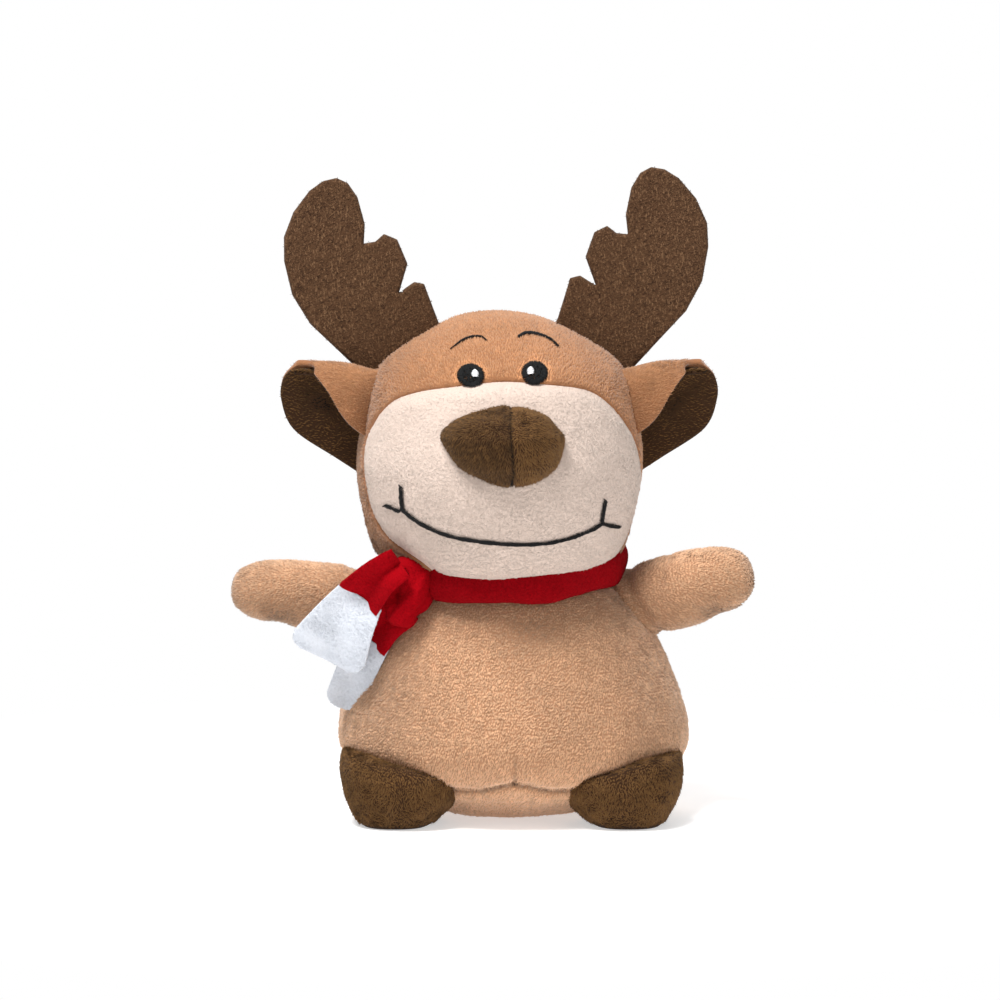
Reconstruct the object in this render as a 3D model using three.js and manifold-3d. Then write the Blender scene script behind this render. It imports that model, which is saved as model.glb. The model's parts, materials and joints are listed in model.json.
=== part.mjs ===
// Stuffed reindeer with felt antlers, cupped ears, a sewn muzzle and a two-coloured fleece scarf.
// Millimetres, +Z up. The face looks along -Y and the viewer's left is -X.
// The toy rests on a flat under its base panel and on the flat soles of its two feet.

import * as THREE from 'three';
import { mergeVertices } from 'three/addons/utils/BufferGeometryUtils.js';
import Module from 'manifold-3d';

const wasm = await Module();
wasm.setup();

// Cloth, clearances and the rest on the ground
const plushThickness = 1.4;
const seamGap = 0.3;
const groundFlat = 0.5;

// Torso: a pear, fullest low down, which leans a little as it rises
const torsoHalfWidth = 47.4;
const torsoHeight = 66;
const torsoFrontDepth = 38;
const torsoBackDepth = 37;
const torsoLean = 3.2;
const baseSeamHeight = 12.8;
const neckRadius = 17;
const neckOpeningDepth = 12;

// Head: an egg that is fuller below, with the muzzle swelling forward from it
const headHalfWidth = 38.2;
const headHeight = 71.5;
const headFrontDepth = 33;
const headBackDepth = 32;
const headForward = 2;
const headShift = 1.1;
const headYaw = THREE.MathUtils.degToRad(1.5);
const neckTurn = 20;
const muzzleReach = 9;
const muzzleHalfWidth = 31;
const muzzleHalfHeight = headHeight * 0.378;
const muzzleMiddle = headHeight * 0.35;
const muzzleSideInset = 1.2;
const muzzleSeamUnderEyes = 1.2;
const muzzleSeamBack = 5;
const crownSeamBack = 1;

// Nose: a wide egg sewn from two halves
const noseHalfWidth = 16;
const noseHeight = 21.5;
const noseBottom = headHeight * 0.38;
const noseSkew = 3.6;
const noseDepth = 13;
const noseSink = 3;

// Embroidery on the face
const stitchRaise = 0.7;
const highlightRaise = 0.5;
const eyeHalfSpacing = 8.5;
const eyeLevel = headHeight * 0.79;
const eyeHalfWidth = 3.7;
const eyeHalfHeight = 3.1;
const highlightRadius = 1.1;
const highlightInset = 1.2;
const highlightLift = 0.3;
const browInner = 4.6;
const browOuter = 14.6;
const browRise = 7.6;
const browArch = 2.4;
const browWidth = 0.7;
const mouthHalfWidth = 26;
const mouthLevel = headHeight * 0.265;
const mouthDip = 6.2;
const mouthTilt = THREE.MathUtils.degToRad(-4);
const mouthWidth = 1;
const tickLength = 6;
const dashLength = 4.2;

// Ears: one folded leaf each, of a plush back and a lining
const earReach = 24.5;
const earRise = 31;
const earCup = 9;
const earRootLevel = headHeight * 0.5734;
const earLiningThickness = 1.2;
const earFlop = 25;

// Antlers: one flat of thick felt each, with two lobes on the inner edge
const antlerHeight = 55.5;
const antlerSpread = 43;
const antlerThickness = 3;
const antlerBaseHeight = headHeight * 0.744;
const antlerFlex = 20;
const antlerTilt = THREE.MathUtils.degToRad(1.7);
const antlerLift = 0.9;

// Arms: one tapering sausage each, left and right laid as they hang on the toy
const leftArmHalf = 9.4;
const rightArmHalf = 10.4;
const armFlatness = 0.88;
const leftArmLength = 41;
const rightArmLength = 37;
const leftArmLift = 7;
const rightArmLift = 17;
const rightArmForward = 20;
const shoulderHeight = torsoHeight * 0.8636;
const shoulderSeat = 2;
const armSwingDown = 20;
const armSwingUp = 30;

// Feet: one brown pad each, in front of the base
const footHalfWidth = 16.8;
const footHeight = 17;
const footSpread = 28.6;
const footShift = 1;
const footLean = 6;
const footForward = 19;
const footFrontReach = 21;
const footSlope = 0.2;

// Scarf: a fleece strip with pale ends, round the neck and crossed at the viewer's left
const fleeceThickness = 2;
const bandHalfWidth = 29;
const bandHalfDepth = 27.5;
const bandThickness = 9;
const bandHeight = 12;
const bandForward = 1.5;
const bandSag = 2.5;
const bandRise = 3.5;
const gatherWidth = 8;
const tailWidth = 12;
const frontEndWidth = 21;
const rearEndWidth = 11;
const foldDepth = 1;
const tailBulge = 1.5;
const frontTailLift = 45;
const rearTailSwing = 20;
const crossingHalfWidth = 7;
const crossingHeight = 19;
const crossingLean = THREE.MathUtils.degToRad(6);

// Facets of the forms
const headSides = 36;
const headRings = 20;
const torsoSides = 32;
const torsoRings = 18;
const innerSides = 20;
const innerRings = 11;
const armSides = 18;
const armRings = 13;
const sweepStep = 10;
const outlineSteps = 3;
const strokeSteps = 2;

// Places that follow from the sizes
const torsoMiddleX = 5.6;
const neckX = torsoMiddleX - torsoLean;
const headX = neckX - headShift;
const headBase = torsoHeight + seamGap - groundFlat;
const browLevel = eyeLevel + browRise;
const bandLevel = headBase + bandRise;
const headPlace = new THREE.Matrix4()
  .makeRotationZ(headYaw)
  .setPosition(headX, -headForward, headBase);
const upright = new THREE.Vector3(0, 0, 1);
const forwardAxis = new THREE.Vector3(0, 1, 0);

// Materials, one maker for each finish
const finish = (color, roughness) => new THREE.MeshStandardMaterial({ color, roughness, metalness: 0 });
const tanPlush = () => finish(0xd2a57f, 0.92);
const crownPlush = () => finish(0xc48c5c, 0.92);
const creamPlush = () => finish(0xe9dacb, 0.92);
const brownPlush = () => finish(0x614731, 0.95);
const brownFelt = () => finish(0x5e4634, 0.97);
const redFleece = () => finish(0xb0061a, 0.94);
const paleFleece = () => finish(0xdde0e8, 0.94);
const blackThread = () => finish(0x141418, 0.6);
const whiteThread = () => finish(0xf2f2f4, 0.6);
const polyesterFill = () => finish(0xf0f0ee, 0.98);

// A closed solid for cutting and joining, with the shared vertices merged
function solidOf(geometry) {
  const bare = geometry.clone();
  bare.deleteAttribute('normal');
  bare.deleteAttribute('uv');
  const merged = mergeVertices(bare, 1e-4);
  return new wasm.Manifold(new wasm.Mesh({
    numProp: 3,
    vertProperties: new Float32Array(merged.attributes.position.array),
    triVerts: new Uint32Array(merged.index.array),
  }));
}

// The triangles of a solid as a buffer geometry
function geometryOf(solid) {
  const mesh = solid.getMesh();
  const geometry = new THREE.BufferGeometry();
  geometry.setAttribute('position', new THREE.BufferAttribute(mesh.vertProperties, 3));
  geometry.setIndex(new THREE.BufferAttribute(mesh.triVerts, 1));
  geometry.computeVertexNormals();
  return geometry;
}

// A block between two corners, for trimming forms to a plane
function block(low, high) {
  const size = new THREE.Vector3().subVectors(high, low);
  const box = new THREE.BoxGeometry(size.x, size.y, size.z);
  box.translate(low.x + size.x / 2, low.y + size.y / 2, low.z + size.z / 2);
  return solidOf(box);
}

const farAway = 400;
const lowCorner = (x = -farAway, y = -farAway, z = -farAway) => new THREE.Vector3(x, y, z);
const highCorner = (x = farAway, y = farAway, z = farAway) => new THREE.Vector3(x, y, z);
const above = (z) => block(lowCorner(-farAway, -farAway, z), highCorner());
const below = (z) => block(lowCorner(), highCorner(farAway, farAway, z));
const behind = (y) => block(lowCorner(-farAway, y), highCorner());
const before = (y) => block(lowCorner(), highCorner(farAway, y));
const leftOf = (x) => block(lowCorner(), highCorner(x));
const rightOf = (x) => block(lowCorner(x), highCorner());

// An indexed geometry from points and triangles, turned so that its faces point outwards
function closedGeometry(points, triangles) {
  const geometry = new THREE.BufferGeometry().setFromPoints(points);
  const volume = triangles.reduce((sum, [a, b, c]) => (
    sum + points[a].dot(new THREE.Vector3().crossVectors(points[b], points[c]))
  ), 0);
  const order = volume < 0 ? triangles.map(([a, b, c]) => [a, c, b]) : triangles;
  geometry.setIndex(order.flat());
  return geometry;
}

// The skin over a stack of rings with the same number of points, capped at both ends or joined into a loop
function skinOverRings(rings, loop = false) {
  const sides = rings[0].length;
  const points = rings.flat();
  const triangles = [];
  const last = loop ? rings.length : rings.length - 1;
  for (let i = 0; i < last; i += 1) {
    const next = (i + 1) % rings.length;
    for (let j = 0; j < sides; j += 1) {
      const k = (j + 1) % sides;
      triangles.push([i * sides + j, i * sides + k, next * sides + k]);
      triangles.push([i * sides + j, next * sides + k, next * sides + j]);
    }
  }
  if (!loop) {
    const caps = [rings[0], rings[rings.length - 1]].map((ring) => (
      ring.reduce((sum, p) => sum.add(p), new THREE.Vector3()).divideScalar(sides)
    ));
    const top = (rings.length - 1) * sides;
    points.push(...caps);
    for (let j = 0; j < sides; j += 1) {
      const k = (j + 1) % sides;
      triangles.push([points.length - 2, k, j]);
      triangles.push([points.length - 1, top + j, top + k]);
    }
  }
  return closedGeometry(points, triangles);
}

// A stuffed form: an outline of [half width, height] points from the bottom pole to the top one, carried
// round an upright axis, with its own depth in front and behind. grow moves the whole skin outwards.
// squareness above 2 fills out the corners of the cross-section, and shift moves each finished point.
function stuffedForm({
  outline, width, height, front, back, sides, rings, grow = 0, squareness = 2.1, shift,
}) {
  const curve = new THREE.SplineCurve(outline.map(([w, z]) => new THREE.Vector2(w * width, z * height)));
  const stack = [];
  for (let i = 0; i < rings; i += 1) {
    const t = Math.sin((Math.PI / 2) * ((i + 0.35) / (rings - 0.3)) * 2 - Math.PI / 2) / 2 + 0.5;
    const at = curve.getPointAt(t);
    const along = curve.getTangentAt(t);
    const half = Math.max(at.x, 0.2);
    const ring = [];
    for (let j = 0; j < sides; j += 1) {
      const angle = (2 * Math.PI * j) / sides;
      const across = Math.sign(Math.cos(angle)) * Math.abs(Math.cos(angle)) ** (2 / squareness);
      const deep = Math.sign(Math.sin(angle)) * Math.abs(Math.sin(angle)) ** (2 / squareness);
      const depth = half * ((deep < 0 ? front : back) / width);
      const point = new THREE.Vector3(
        across * Math.max(half + grow * along.y, 0.1),
        deep * Math.max(depth + grow * along.y, 0.1),
        at.y - grow * along.x,
      );
      ring.push(shift ? shift(point) : point);
    }
    stack.push(ring);
  }
  return skinOverRings(stack);
}

// A sheet between two grids of points, closed along its four edges
function slab(frontGrid, backGrid) {
  const rows = frontGrid.length;
  const columns = frontGrid[0].length;
  const points = [...frontGrid.flat(), ...backGrid.flat()];
  const offset = rows * columns;
  const at = (i, j) => i * columns + j;
  const triangles = [];
  for (let i = 0; i < rows - 1; i += 1) {
    for (let j = 0; j < columns - 1; j += 1) {
      const [a, b, c, d] = [at(i, j), at(i, j + 1), at(i + 1, j + 1), at(i + 1, j)];
      triangles.push([a, b, c], [a, c, d]);
      triangles.push([offset + a, offset + c, offset + b], [offset + a, offset + d, offset + c]);
    }
  }
  const rim = [];
  for (let j = 0; j < columns - 1; j += 1) rim.push(at(0, j));
  for (let i = 0; i < rows - 1; i += 1) rim.push(at(i, columns - 1));
  for (let j = columns - 1; j > 0; j -= 1) rim.push(at(rows - 1, j));
  for (let i = rows - 1; i > 0; i -= 1) rim.push(at(i, 0));
  rim.forEach((a, n) => {
    const b = rim[(n + 1) % rim.length];
    triangles.push([a, offset + a, b], [b, offset + a, offset + b]);
  });
  return closedGeometry(points, triangles);
}

// A cloth sheet: surface(u, v) gives its middle, and it fills the space between two offsets along its normal
function clothSheet(surface, rows, columns, nearOffset, farOffset) {
  const step = 1e-3;
  const grid = (offset) => Array.from({ length: rows + 1 }, (_, i) => (
    Array.from({ length: columns + 1 }, (__, j) => {
      const [u, v] = [i / rows, j / columns];
      const at = surface(u, v);
      const alongU = surface(Math.min(u + step, 1), v).sub(surface(Math.max(u - step, 0), v));
      const alongV = surface(u, Math.min(v + step, 1)).sub(surface(u, Math.max(v - step, 0)));
      return at.addScaledVector(alongU.cross(alongV).normalize(), offset);
    })
  ));
  return slab(grid(nearOffset), grid(farOffset));
}

// The piece without the space that its neighbour passes through while the piece turns on its hinge
function clearThroughRange(piece, neighbour, { pivot, axis, range }) {
  let cleared = piece;
  const steps = Math.ceil((range[1] - range[0]) / sweepStep);
  for (let i = 0; i <= steps; i += 1) {
    const angle = THREE.MathUtils.degToRad(range[0] + ((range[1] - range[0]) * i) / steps);
    const turn = new THREE.Matrix4().makeTranslation(pivot)
      .multiply(new THREE.Matrix4().makeRotationAxis(axis.clone().normalize(), -angle))
      .multiply(new THREE.Matrix4().makeTranslation(pivot.clone().negate()));
    cleared = cleared.subtract(solidOf(neighbour.clone().applyMatrix4(turn)));
  }
  return largestBody(cleared);
}

// The largest of the separate bodies that a cut leaves
function largestBody(solid) {
  return solid.decompose().reduce((most, body) => (body.volume() > most.volume() ? body : most));
}

// A named mesh of one solid
function piece(name, solid, material) {
  const mesh = new THREE.Mesh(solid.isBufferGeometry ? solid : geometryOf(solid), material);
  mesh.name = name;
  return mesh;
}

// Torso skin, from the pole under the base to the neck: half widths and heights as shares of the full ones
const torsoOutline = [
  [0, 0], [0.3, 0.004], [0.57, 0.035], [0.79, 0.115], [0.92, 0.2], [0.985, 0.28], [1, 0.345],
  [0.98, 0.46], [0.93, 0.58], [0.855, 0.72], [0.76, 0.845], [0.64, 0.945], [0.5, 1], [0.25, 1.02], [0, 1.024],
];

function torsoGeometry(grow, sides = torsoSides, rings = torsoRings) {
  return stuffedForm({
    outline: torsoOutline,
    width: torsoHalfWidth,
    height: torsoHeight,
    front: torsoFrontDepth,
    back: torsoBackDepth,
    sides,
    rings,
    grow,
    shift: (p) => {
      const rise = THREE.MathUtils.clamp(p.z / torsoHeight, 0, 1);
      return new THREE.Vector3(p.x + torsoMiddleX - torsoLean * rise * rise, p.y, p.z - groundFlat);
    },
  });
}

// Half width of the torso at a height, for what is sewn to its sides
function torsoHalfWidthAt(height) {
  const curve = new THREE.SplineCurve(torsoOutline.map(([w, z]) => new THREE.Vector2(w, z)));
  const target = (height + groundFlat) / torsoHeight;
  const samples = curve.getPoints(200).filter((p) => p.y <= target);
  return samples[samples.length - 1].x * torsoHalfWidth;
}

const torsoMiddleAt = (height) => torsoMiddleX - torsoLean * (height / torsoHeight) ** 2;

// Torso cover in three panels, open at the neck, round its filling
function makeTorso() {
  const neckCut = solidOf(new THREE.CylinderGeometry(neckRadius, neckRadius, neckOpeningDepth, 32)
    .rotateX(Math.PI / 2).translate(neckX, 0, torsoHeight - groundFlat));
  const neckPlane = torsoHeight - groundFlat;
  const outer = solidOf(torsoGeometry(0)).intersect(below(neckPlane)).intersect(above(0));
  const hollow = solidOf(torsoGeometry(-plushThickness, innerSides, innerRings))
    .intersect(below(neckPlane - plushThickness));
  const skin = outer.subtract(hollow).subtract(neckCut);
  const side = skin.intersect(above(baseSeamHeight + seamGap));
  const fill = solidOf(torsoGeometry(-plushThickness - seamGap, innerSides, innerRings))
    .intersect(below(neckPlane - plushThickness - seamGap));
  return [
    piece('torso_front_panel', side.intersect(before(-seamGap / 2)), tanPlush()),
    piece('torso_back_panel', side.intersect(behind(seamGap / 2)), tanPlush()),
    piece('base_panel', skin.intersect(below(baseSeamHeight)), tanPlush()),
    piece('torso_filling', fill, polyesterFill()),
  ];
}

// Head skin, from the pole at the neck to the crown
const headOutline = [
  [0, 0], [0.42, 0.002], [0.72, 0.03], [0.87, 0.095], [0.95, 0.235], [1, 0.415],
  [0.982, 0.54], [0.906, 0.74], [0.749, 0.85], [0.41, 0.957], [0.2, 0.99], [0, 1],
];

// How far the muzzle swells forward at a point of the face, fading smoothly to nothing round it
function muzzleSwell(x, z) {
  const across = (x / muzzleHalfWidth) ** 2;
  const upward = ((z - muzzleMiddle) / muzzleHalfHeight) ** 2;
  return muzzleReach * Math.exp(-((across + upward) ** 1.3));
}

function headGeometry(grow, sides = headSides, rings = headRings) {
  return stuffedForm({
    outline: headOutline,
    width: headHalfWidth,
    height: headHeight,
    front: headFrontDepth,
    back: headBackDepth,
    sides,
    rings,
    grow,
    shift: (p) => {
      const facing = THREE.MathUtils.clamp(-p.y / (headFrontDepth * 0.6), 0, 1);
      return new THREE.Vector3(p.x, p.y - muzzleSwell(p.x, p.z) * facing, p.z - groundFlat);
    },
  });
}

// A flat outline in the face's plane, given as [across, up], carried from front to back
function facePrism(shape, frontY, backY) {
  const settings = { depth: backY - frontY, bevelEnabled: false, curveSegments: outlineSteps };
  const prism = new THREE.ExtrudeGeometry(shape, settings);
  return solidOf(prism.rotateX(Math.PI / 2).translate(0, backY, 0));
}

// The muzzle panel's outline, with its seam arched under the eyes, moved outwards by grow
function muzzleShape(grow) {
  const side = headHalfWidth - muzzleSideInset + grow;
  const top = eyeLevel - eyeHalfHeight + grow + muzzleSeamUnderEyes;
  const up = (share) => headHeight * share;
  const half = [
    [0.86, up(0.084)], [0.97, up(0.224)], [1, up(0.42)], [0.96, up(0.56)], [0.83, top - up(0.105)],
    [0.63, top - up(0.042)], [0.34, top - up(0.011)],
  ];
  const shape = new THREE.Shape();
  shape.moveTo(-side * 0.5, -up(0.14));
  shape.splineThru([
    ...half.map(([share, z]) => new THREE.Vector2(-side * share, z)),
    new THREE.Vector2(0, top),
    ...half.reverse().map(([share, z]) => new THREE.Vector2(side * share, z)),
    new THREE.Vector2(side * 0.5, -up(0.14)),
  ]);
  shape.closePath();
  return shape;
}

// Head cover in three panels, open at the neck, round its filling
function makeHeadCover() {
  const neckPlug = new THREE.CylinderGeometry(neckRadius, neckRadius, neckOpeningDepth, 32);
  const neckCut = solidOf(neckPlug.rotateX(Math.PI / 2));
  const outer = solidOf(headGeometry(0)).intersect(above(0));
  const inner = solidOf(headGeometry(-plushThickness, innerSides, innerRings));
  const hollow = inner.intersect(above(plushThickness));
  const skin = outer.subtract(hollow).subtract(neckCut);
  const muzzle = facePrism(muzzleShape(0), -farAway, -muzzleSeamBack);
  const muzzleRoom = facePrism(muzzleShape(seamGap), -farAway, -muzzleSeamBack + seamGap);
  const rest = skin.subtract(muzzleRoom);
  const fill = solidOf(headGeometry(-plushThickness - seamGap, innerSides, innerRings))
    .intersect(above(plushThickness + seamGap));
  return [
    piece('forehead_panel', largestBody(rest.intersect(before(crownSeamBack - seamGap / 2))), crownPlush()),
    piece('head_back_panel', largestBody(rest.intersect(behind(crownSeamBack + seamGap / 2))), crownPlush()),
    piece('muzzle_panel', largestBody(skin.intersect(muzzle)), creamPlush()),
    piece('head_filling', fill, polyesterFill()),
  ];
}

// How far forward the face's skin lies at a point of the face
function faceFront(x, z) {
  const half = headHalfWidth * headHalfShareAt(z);
  const across = Math.min(Math.abs(x) / half, 0.98);
  const round = Math.sqrt(1 - across ** 2);
  return -half * (headFrontDepth / headHalfWidth) * round - muzzleSwell(x, z);
}

function headHalfShareAt(z) {
  const curve = new THREE.SplineCurve(headOutline.map(([w, share]) => new THREE.Vector2(w, share)));
  const samples = curve.getPoints(200).filter((p) => p.y * headHeight <= z + groundFlat);
  return samples[samples.length - 1].x;
}

// Nose: half widths and heights as shares, widest above its middle
const noseOutline = [
  [0, 0], [0.25, 0.01], [0.48, 0.07], [0.77, 0.24], [0.87, 0.34], [1, 0.6], [0.96, 0.7], [0.8, 0.84],
  [0.58, 0.93], [0.3, 0.985], [0, 1],
];

function noseGeometry(grow) {
  const middle = noseBottom + noseHeight / 2;
  return stuffedForm({
    outline: noseOutline,
    width: noseHalfWidth,
    height: noseHeight,
    front: noseDepth,
    back: noseDepth,
    sides: 24,
    rings: 10,
    grow,
    shift: (p) => new THREE.Vector3(
      p.x + noseSkew * (0.6 - p.z / noseHeight), p.y + faceFront(0, middle) + noseSink, p.z + noseBottom,
    ),
  });
}

// Nose cover in two halves with a seam down the middle, open at the back, round its filling
function makeNose() {
  const face = solidOf(headGeometry(seamGap));
  const skin = solidOf(noseGeometry(0)).subtract(face).subtract(solidOf(noseGeometry(-plushThickness)));
  const fill = solidOf(noseGeometry(-plushThickness - seamGap)).subtract(face);
  return [
    piece('nose_left_half', largestBody(skin.intersect(leftOf(-seamGap / 2))), brownPlush()),
    piece('nose_right_half', largestBody(skin.intersect(rightOf(seamGap / 2))), brownPlush()),
    piece('nose_filling', largestBody(fill), polyesterFill()),
  ];
}

// A raised patch of stitching that follows the face: an outline carried through a layer of the head's skin
function stitchedPatch(shape, low, high) {
  const layer = solidOf(headGeometry(high)).subtract(solidOf(headGeometry(low)));
  return largestBody(facePrism(shape, -farAway, -muzzleSeamBack).intersect(layer));
}

// The outline of a stroke of even width along a curve in the face's plane, with blunt ends
function strokeShape(points, width) {
  const curve = new THREE.SplineCurve(points.map(([x, z]) => new THREE.Vector2(x, z)));
  const steps = points.length * strokeSteps;
  const sideOf = (sign) => Array.from({ length: steps + 1 }, (_, i) => {
    const at = curve.getPointAt(i / steps);
    const along = curve.getTangentAt(i / steps);
    return new THREE.Vector2(at.x - (sign * along.y * width) / 2, at.y + (sign * along.x * width) / 2);
  });
  return new THREE.Shape([...sideOf(1), ...sideOf(-1).reverse()]);
}

function ovalShape(x, z, halfWidth, halfHeight, points = 16) {
  return new THREE.Shape(Array.from({ length: points }, (_, i) => {
    const angle = (2 * Math.PI * i) / points;
    return new THREE.Vector2(x + halfWidth * Math.cos(angle), z + halfHeight * Math.sin(angle));
  }));
}

// Eyes with their highlights, brows and the mouth line with its cheek ticks
function makeEmbroidery() {
  const low = seamGap;
  const high = seamGap + stitchRaise;
  const meshes = [];
  for (const [side, sign] of [['left', -1], ['right', 1]]) {
    const eyeX = sign * eyeHalfSpacing;
    const eye = ovalShape(eyeX, eyeLevel, eyeHalfWidth, eyeHalfHeight);
    meshes.push(piece(`${side}_eye`, stitchedPatch(eye, low, high), blackThread()));
    const lightX = eyeX - sign * highlightInset;
    const light = ovalShape(lightX, eyeLevel + highlightLift, highlightRadius, highlightRadius * 0.8);
    const lightLow = high + seamGap;
    const lightPatch = stitchedPatch(light, lightLow, lightLow + highlightRaise);
    meshes.push(piece(`${side}_eye_highlight`, lightPatch, whiteThread()));
    const browMiddle = (browInner + browOuter) / 2;
    const brow = strokeShape([
      [sign * browInner, browLevel + browArch * 0.55], [sign * browMiddle, browLevel + browArch],
      [sign * browOuter, browLevel - browArch * 0.4],
    ], browWidth);
    meshes.push(piece(`${side}_brow`, stitchedPatch(brow, low, high), blackThread()));
  }
  meshes.push(piece('mouth_line', makeMouth(low, high), blackThread()));
  return meshes;
}

// The mouth: one sagging line, with an upright tick and a short dash at each end
function makeMouth(low, high) {
  const tilt = (x) => mouthLevel + x * Math.tan(mouthTilt);
  const line = (x) => tilt(x) - mouthDip * (1 - (x / mouthHalfWidth) ** 2);
  const shares = [-1, -0.66, -0.33, 0, 0.33, 0.66, 1];
  const mouthPoints = shares.map((s) => [s * mouthHalfWidth, line(s * mouthHalfWidth)]);
  let mouth = stitchedPatch(strokeShape(mouthPoints, mouthWidth), low, high);
  for (const sign of [-1, 1]) {
    const end = [sign * mouthHalfWidth, tilt(sign * mouthHalfWidth)];
    const tick = [[end[0], end[1] - mouthWidth], [end[0] + sign * mouthWidth * 0.3, end[1] + tickLength]];
    const dash = [
      [end[0] - sign * mouthWidth, end[1] - mouthWidth * 0.4],
      [end[0] + sign * dashLength, end[1] + mouthWidth * 0.6],
    ];
    mouth = mouth.add(stitchedPatch(strokeShape(tick, mouthWidth), low, high));
    mouth = mouth.add(stitchedPatch(strokeShape(dash, mouthWidth), low, high));
  }
  return mouth;
}

// Ear: three guide lines from the root to the tip, in shares of the reach and the rise. The front edge comes
// down over the pocket, the fold runs along the top, and the back edge makes the outer rim.
function earSurface(sign) {
  const rootX = headHalfWidth * 0.9;
  const guide = (points) => new THREE.CatmullRomCurve3(points.map(([reach, rise, y]) => new THREE.Vector3(
    sign * (rootX + reach * earReach), y * earCup, earRootLevel + rise * earRise,
  )));
  const frontEdge = guide([[-0.12, -0.2, -0.5], [0.26, 0.02, -1.05], [0.49, 0.3, -0.95], [0.7, 0.5, -0.5]]);
  const fold = guide([[-0.3, 0.38, -0.4], [0.05, 0.43, -0.5], [0.38, 0.5, -0.5], [0.72, 0.54, -0.4]]);
  const backEdge = guide([
    [-0.12, -0.5, 0.45], [0.4, -0.25, 0.4], [0.86, -0.03, 0.3], [0.99, 0.22, 0.1], [0.95, 0.4, -0.1],
    [0.75, 0.52, -0.3],
  ]);
  return (u, v) => {
    const [a, b, c] = [frontEdge.getPoint(u), fold.getPoint(u), backEdge.getPoint(u)];
    const pull = b.clone().multiplyScalar(2).addScaledVector(a, -0.5).addScaledVector(c, -0.5);
    return a.multiplyScalar((1 - v) ** 2).addScaledVector(pull, 2 * v * (1 - v)).addScaledVector(c, v ** 2);
  };
}

const earHinge = (sign) => ({
  pivot: new THREE.Vector3(sign * (headHalfWidth - 1.2), 0, earRootLevel),
  axis: new THREE.Vector3(sign * -0.19, 0, 0.98),
  range: [-earFlop, earFlop],
});

function makeEar(side, sign) {
  const surface = earSurface(sign);
  const outward = sign;
  const half = seamGap / 2;
  const head = headGeometry(seamGap);
  const back = solidOf(clothSheet(surface, 11, 10, outward * half, outward * (half + plushThickness)));
  const liningFace = half + earLiningThickness;
  const lining = solidOf(clothSheet(surface, 11, 10, -outward * half, -outward * liningFace));
  return [
    piece(`${side}_ear_back`, clearThroughRange(back, head, earHinge(sign)), tanPlush()),
    piece(`${side}_ear_lining`, clearThroughRange(lining, head, earHinge(sign)), brownPlush()),
  ];
}

// Antler outline in shares of the spread and the height, in straight snips, from the inner foot of the base
const antlerOutline = [
  [-0.05, 0.17], [0.38, -0.07], [0.66, 0.15], [0.844, 0.294], [0.951, 0.438], [0.995, 0.604], [0.991, 0.721],
  [0.926, 0.841], [0.821, 0.942], [0.733, 0.987], [0.649, 1], [0.579, 0.973], [0.521, 0.903], [0.481, 0.771],
  [0.491, 0.677], [0.419, 0.685], [0.363, 0.721], [0.281, 0.692], [0.221, 0.573], [0.281, 0.432], [0.184, 0.483],
  [0.121, 0.472], [0.035, 0.276],
];

// The left antler leans out a little and the right one in, so that the right one stands higher
function antlerShape(sign) {
  const lean = sign * antlerTilt;
  const foot = new THREE.Vector2(headHalfWidth * 0.38, antlerBaseHeight);
  const root = new THREE.Vector2(headHalfWidth * 0.65, antlerBaseHeight + antlerHeight * 0.13);
  const shape = new THREE.Shape();
  antlerOutline.forEach(([across, up], i) => {
    const point = new THREE.Vector2(across * antlerSpread, up * antlerHeight);
    point.add(foot).rotateAround(root, lean);
    if (i === 0) shape.moveTo(sign * point.x, point.y + sign * antlerLift);
    else shape.lineTo(sign * point.x, point.y + sign * antlerLift);
  });
  shape.closePath();
  return shape;
}

const antlerHinge = (sign) => ({
  pivot: new THREE.Vector3(sign * headHalfWidth * 0.66, crownSeamBack, antlerBaseHeight + 0.14 * antlerHeight),
  axis: new THREE.Vector3(sign * -0.77, 0, 0.64),
  range: [-antlerFlex, antlerFlex],
});

function makeAntler(side, sign) {
  const half = antlerThickness / 2;
  const felt = facePrism(antlerShape(sign), crownSeamBack - half, crownSeamBack + half);
  const clear = clearThroughRange(felt, headGeometry(seamGap), antlerHinge(sign));
  return piece(`${side}_antler`, clear, brownFelt());
}

// Arm: half widths and places along it as shares, narrow where it is sewn on and full before its round tip
const armOutline = [
  [0, -0.12], [0.6, -0.115], [0.85, -0.06], [0.97, 0.1], [1, 0.35], [0.97, 0.6], [0.85, 0.81], [0.63, 0.93],
  [0.35, 0.985], [0, 1],
];

const arms = {
  left: { sign: -1, half: leftArmHalf, length: leftArmLength, lift: leftArmLift, forward: 0 },
  right: { sign: 1, half: rightArmHalf, length: rightArmLength, lift: rightArmLift, forward: rightArmForward },
};

function shoulderOf({ sign }) {
  return {
    pivot: new THREE.Vector3(
      torsoMiddleAt(shoulderHeight) + sign * (torsoHalfWidthAt(shoulderHeight) - shoulderSeat), 0, shoulderHeight,
    ),
    axis: new THREE.Vector3(0, -sign, 0),
    range: [-armSwingDown, armSwingUp],
  };
}

function armGeometry(arm, grow, sides = armSides, rings = armRings) {
  const [lift, forward] = [arm.lift, arm.forward].map(THREE.MathUtils.degToRad);
  const outwards = arm.sign * Math.cos(lift) * Math.cos(forward);
  const along = new THREE.Vector3(outwards, -Math.sin(forward), Math.sin(lift));
  const deep = forwardAxis.clone().addScaledVector(along.normalize(), -forwardAxis.dot(along)).normalize();
  const wide = new THREE.Vector3().crossVectors(deep, along);
  const place = new THREE.Matrix4().makeBasis(wide, deep, along).setPosition(shoulderOf(arm).pivot);
  return stuffedForm({
    outline: armOutline,
    width: arm.half,
    height: arm.length,
    front: arm.half * armFlatness,
    back: arm.half * armFlatness,
    sides,
    rings,
    grow,
  }).applyMatrix4(place);
}

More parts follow.
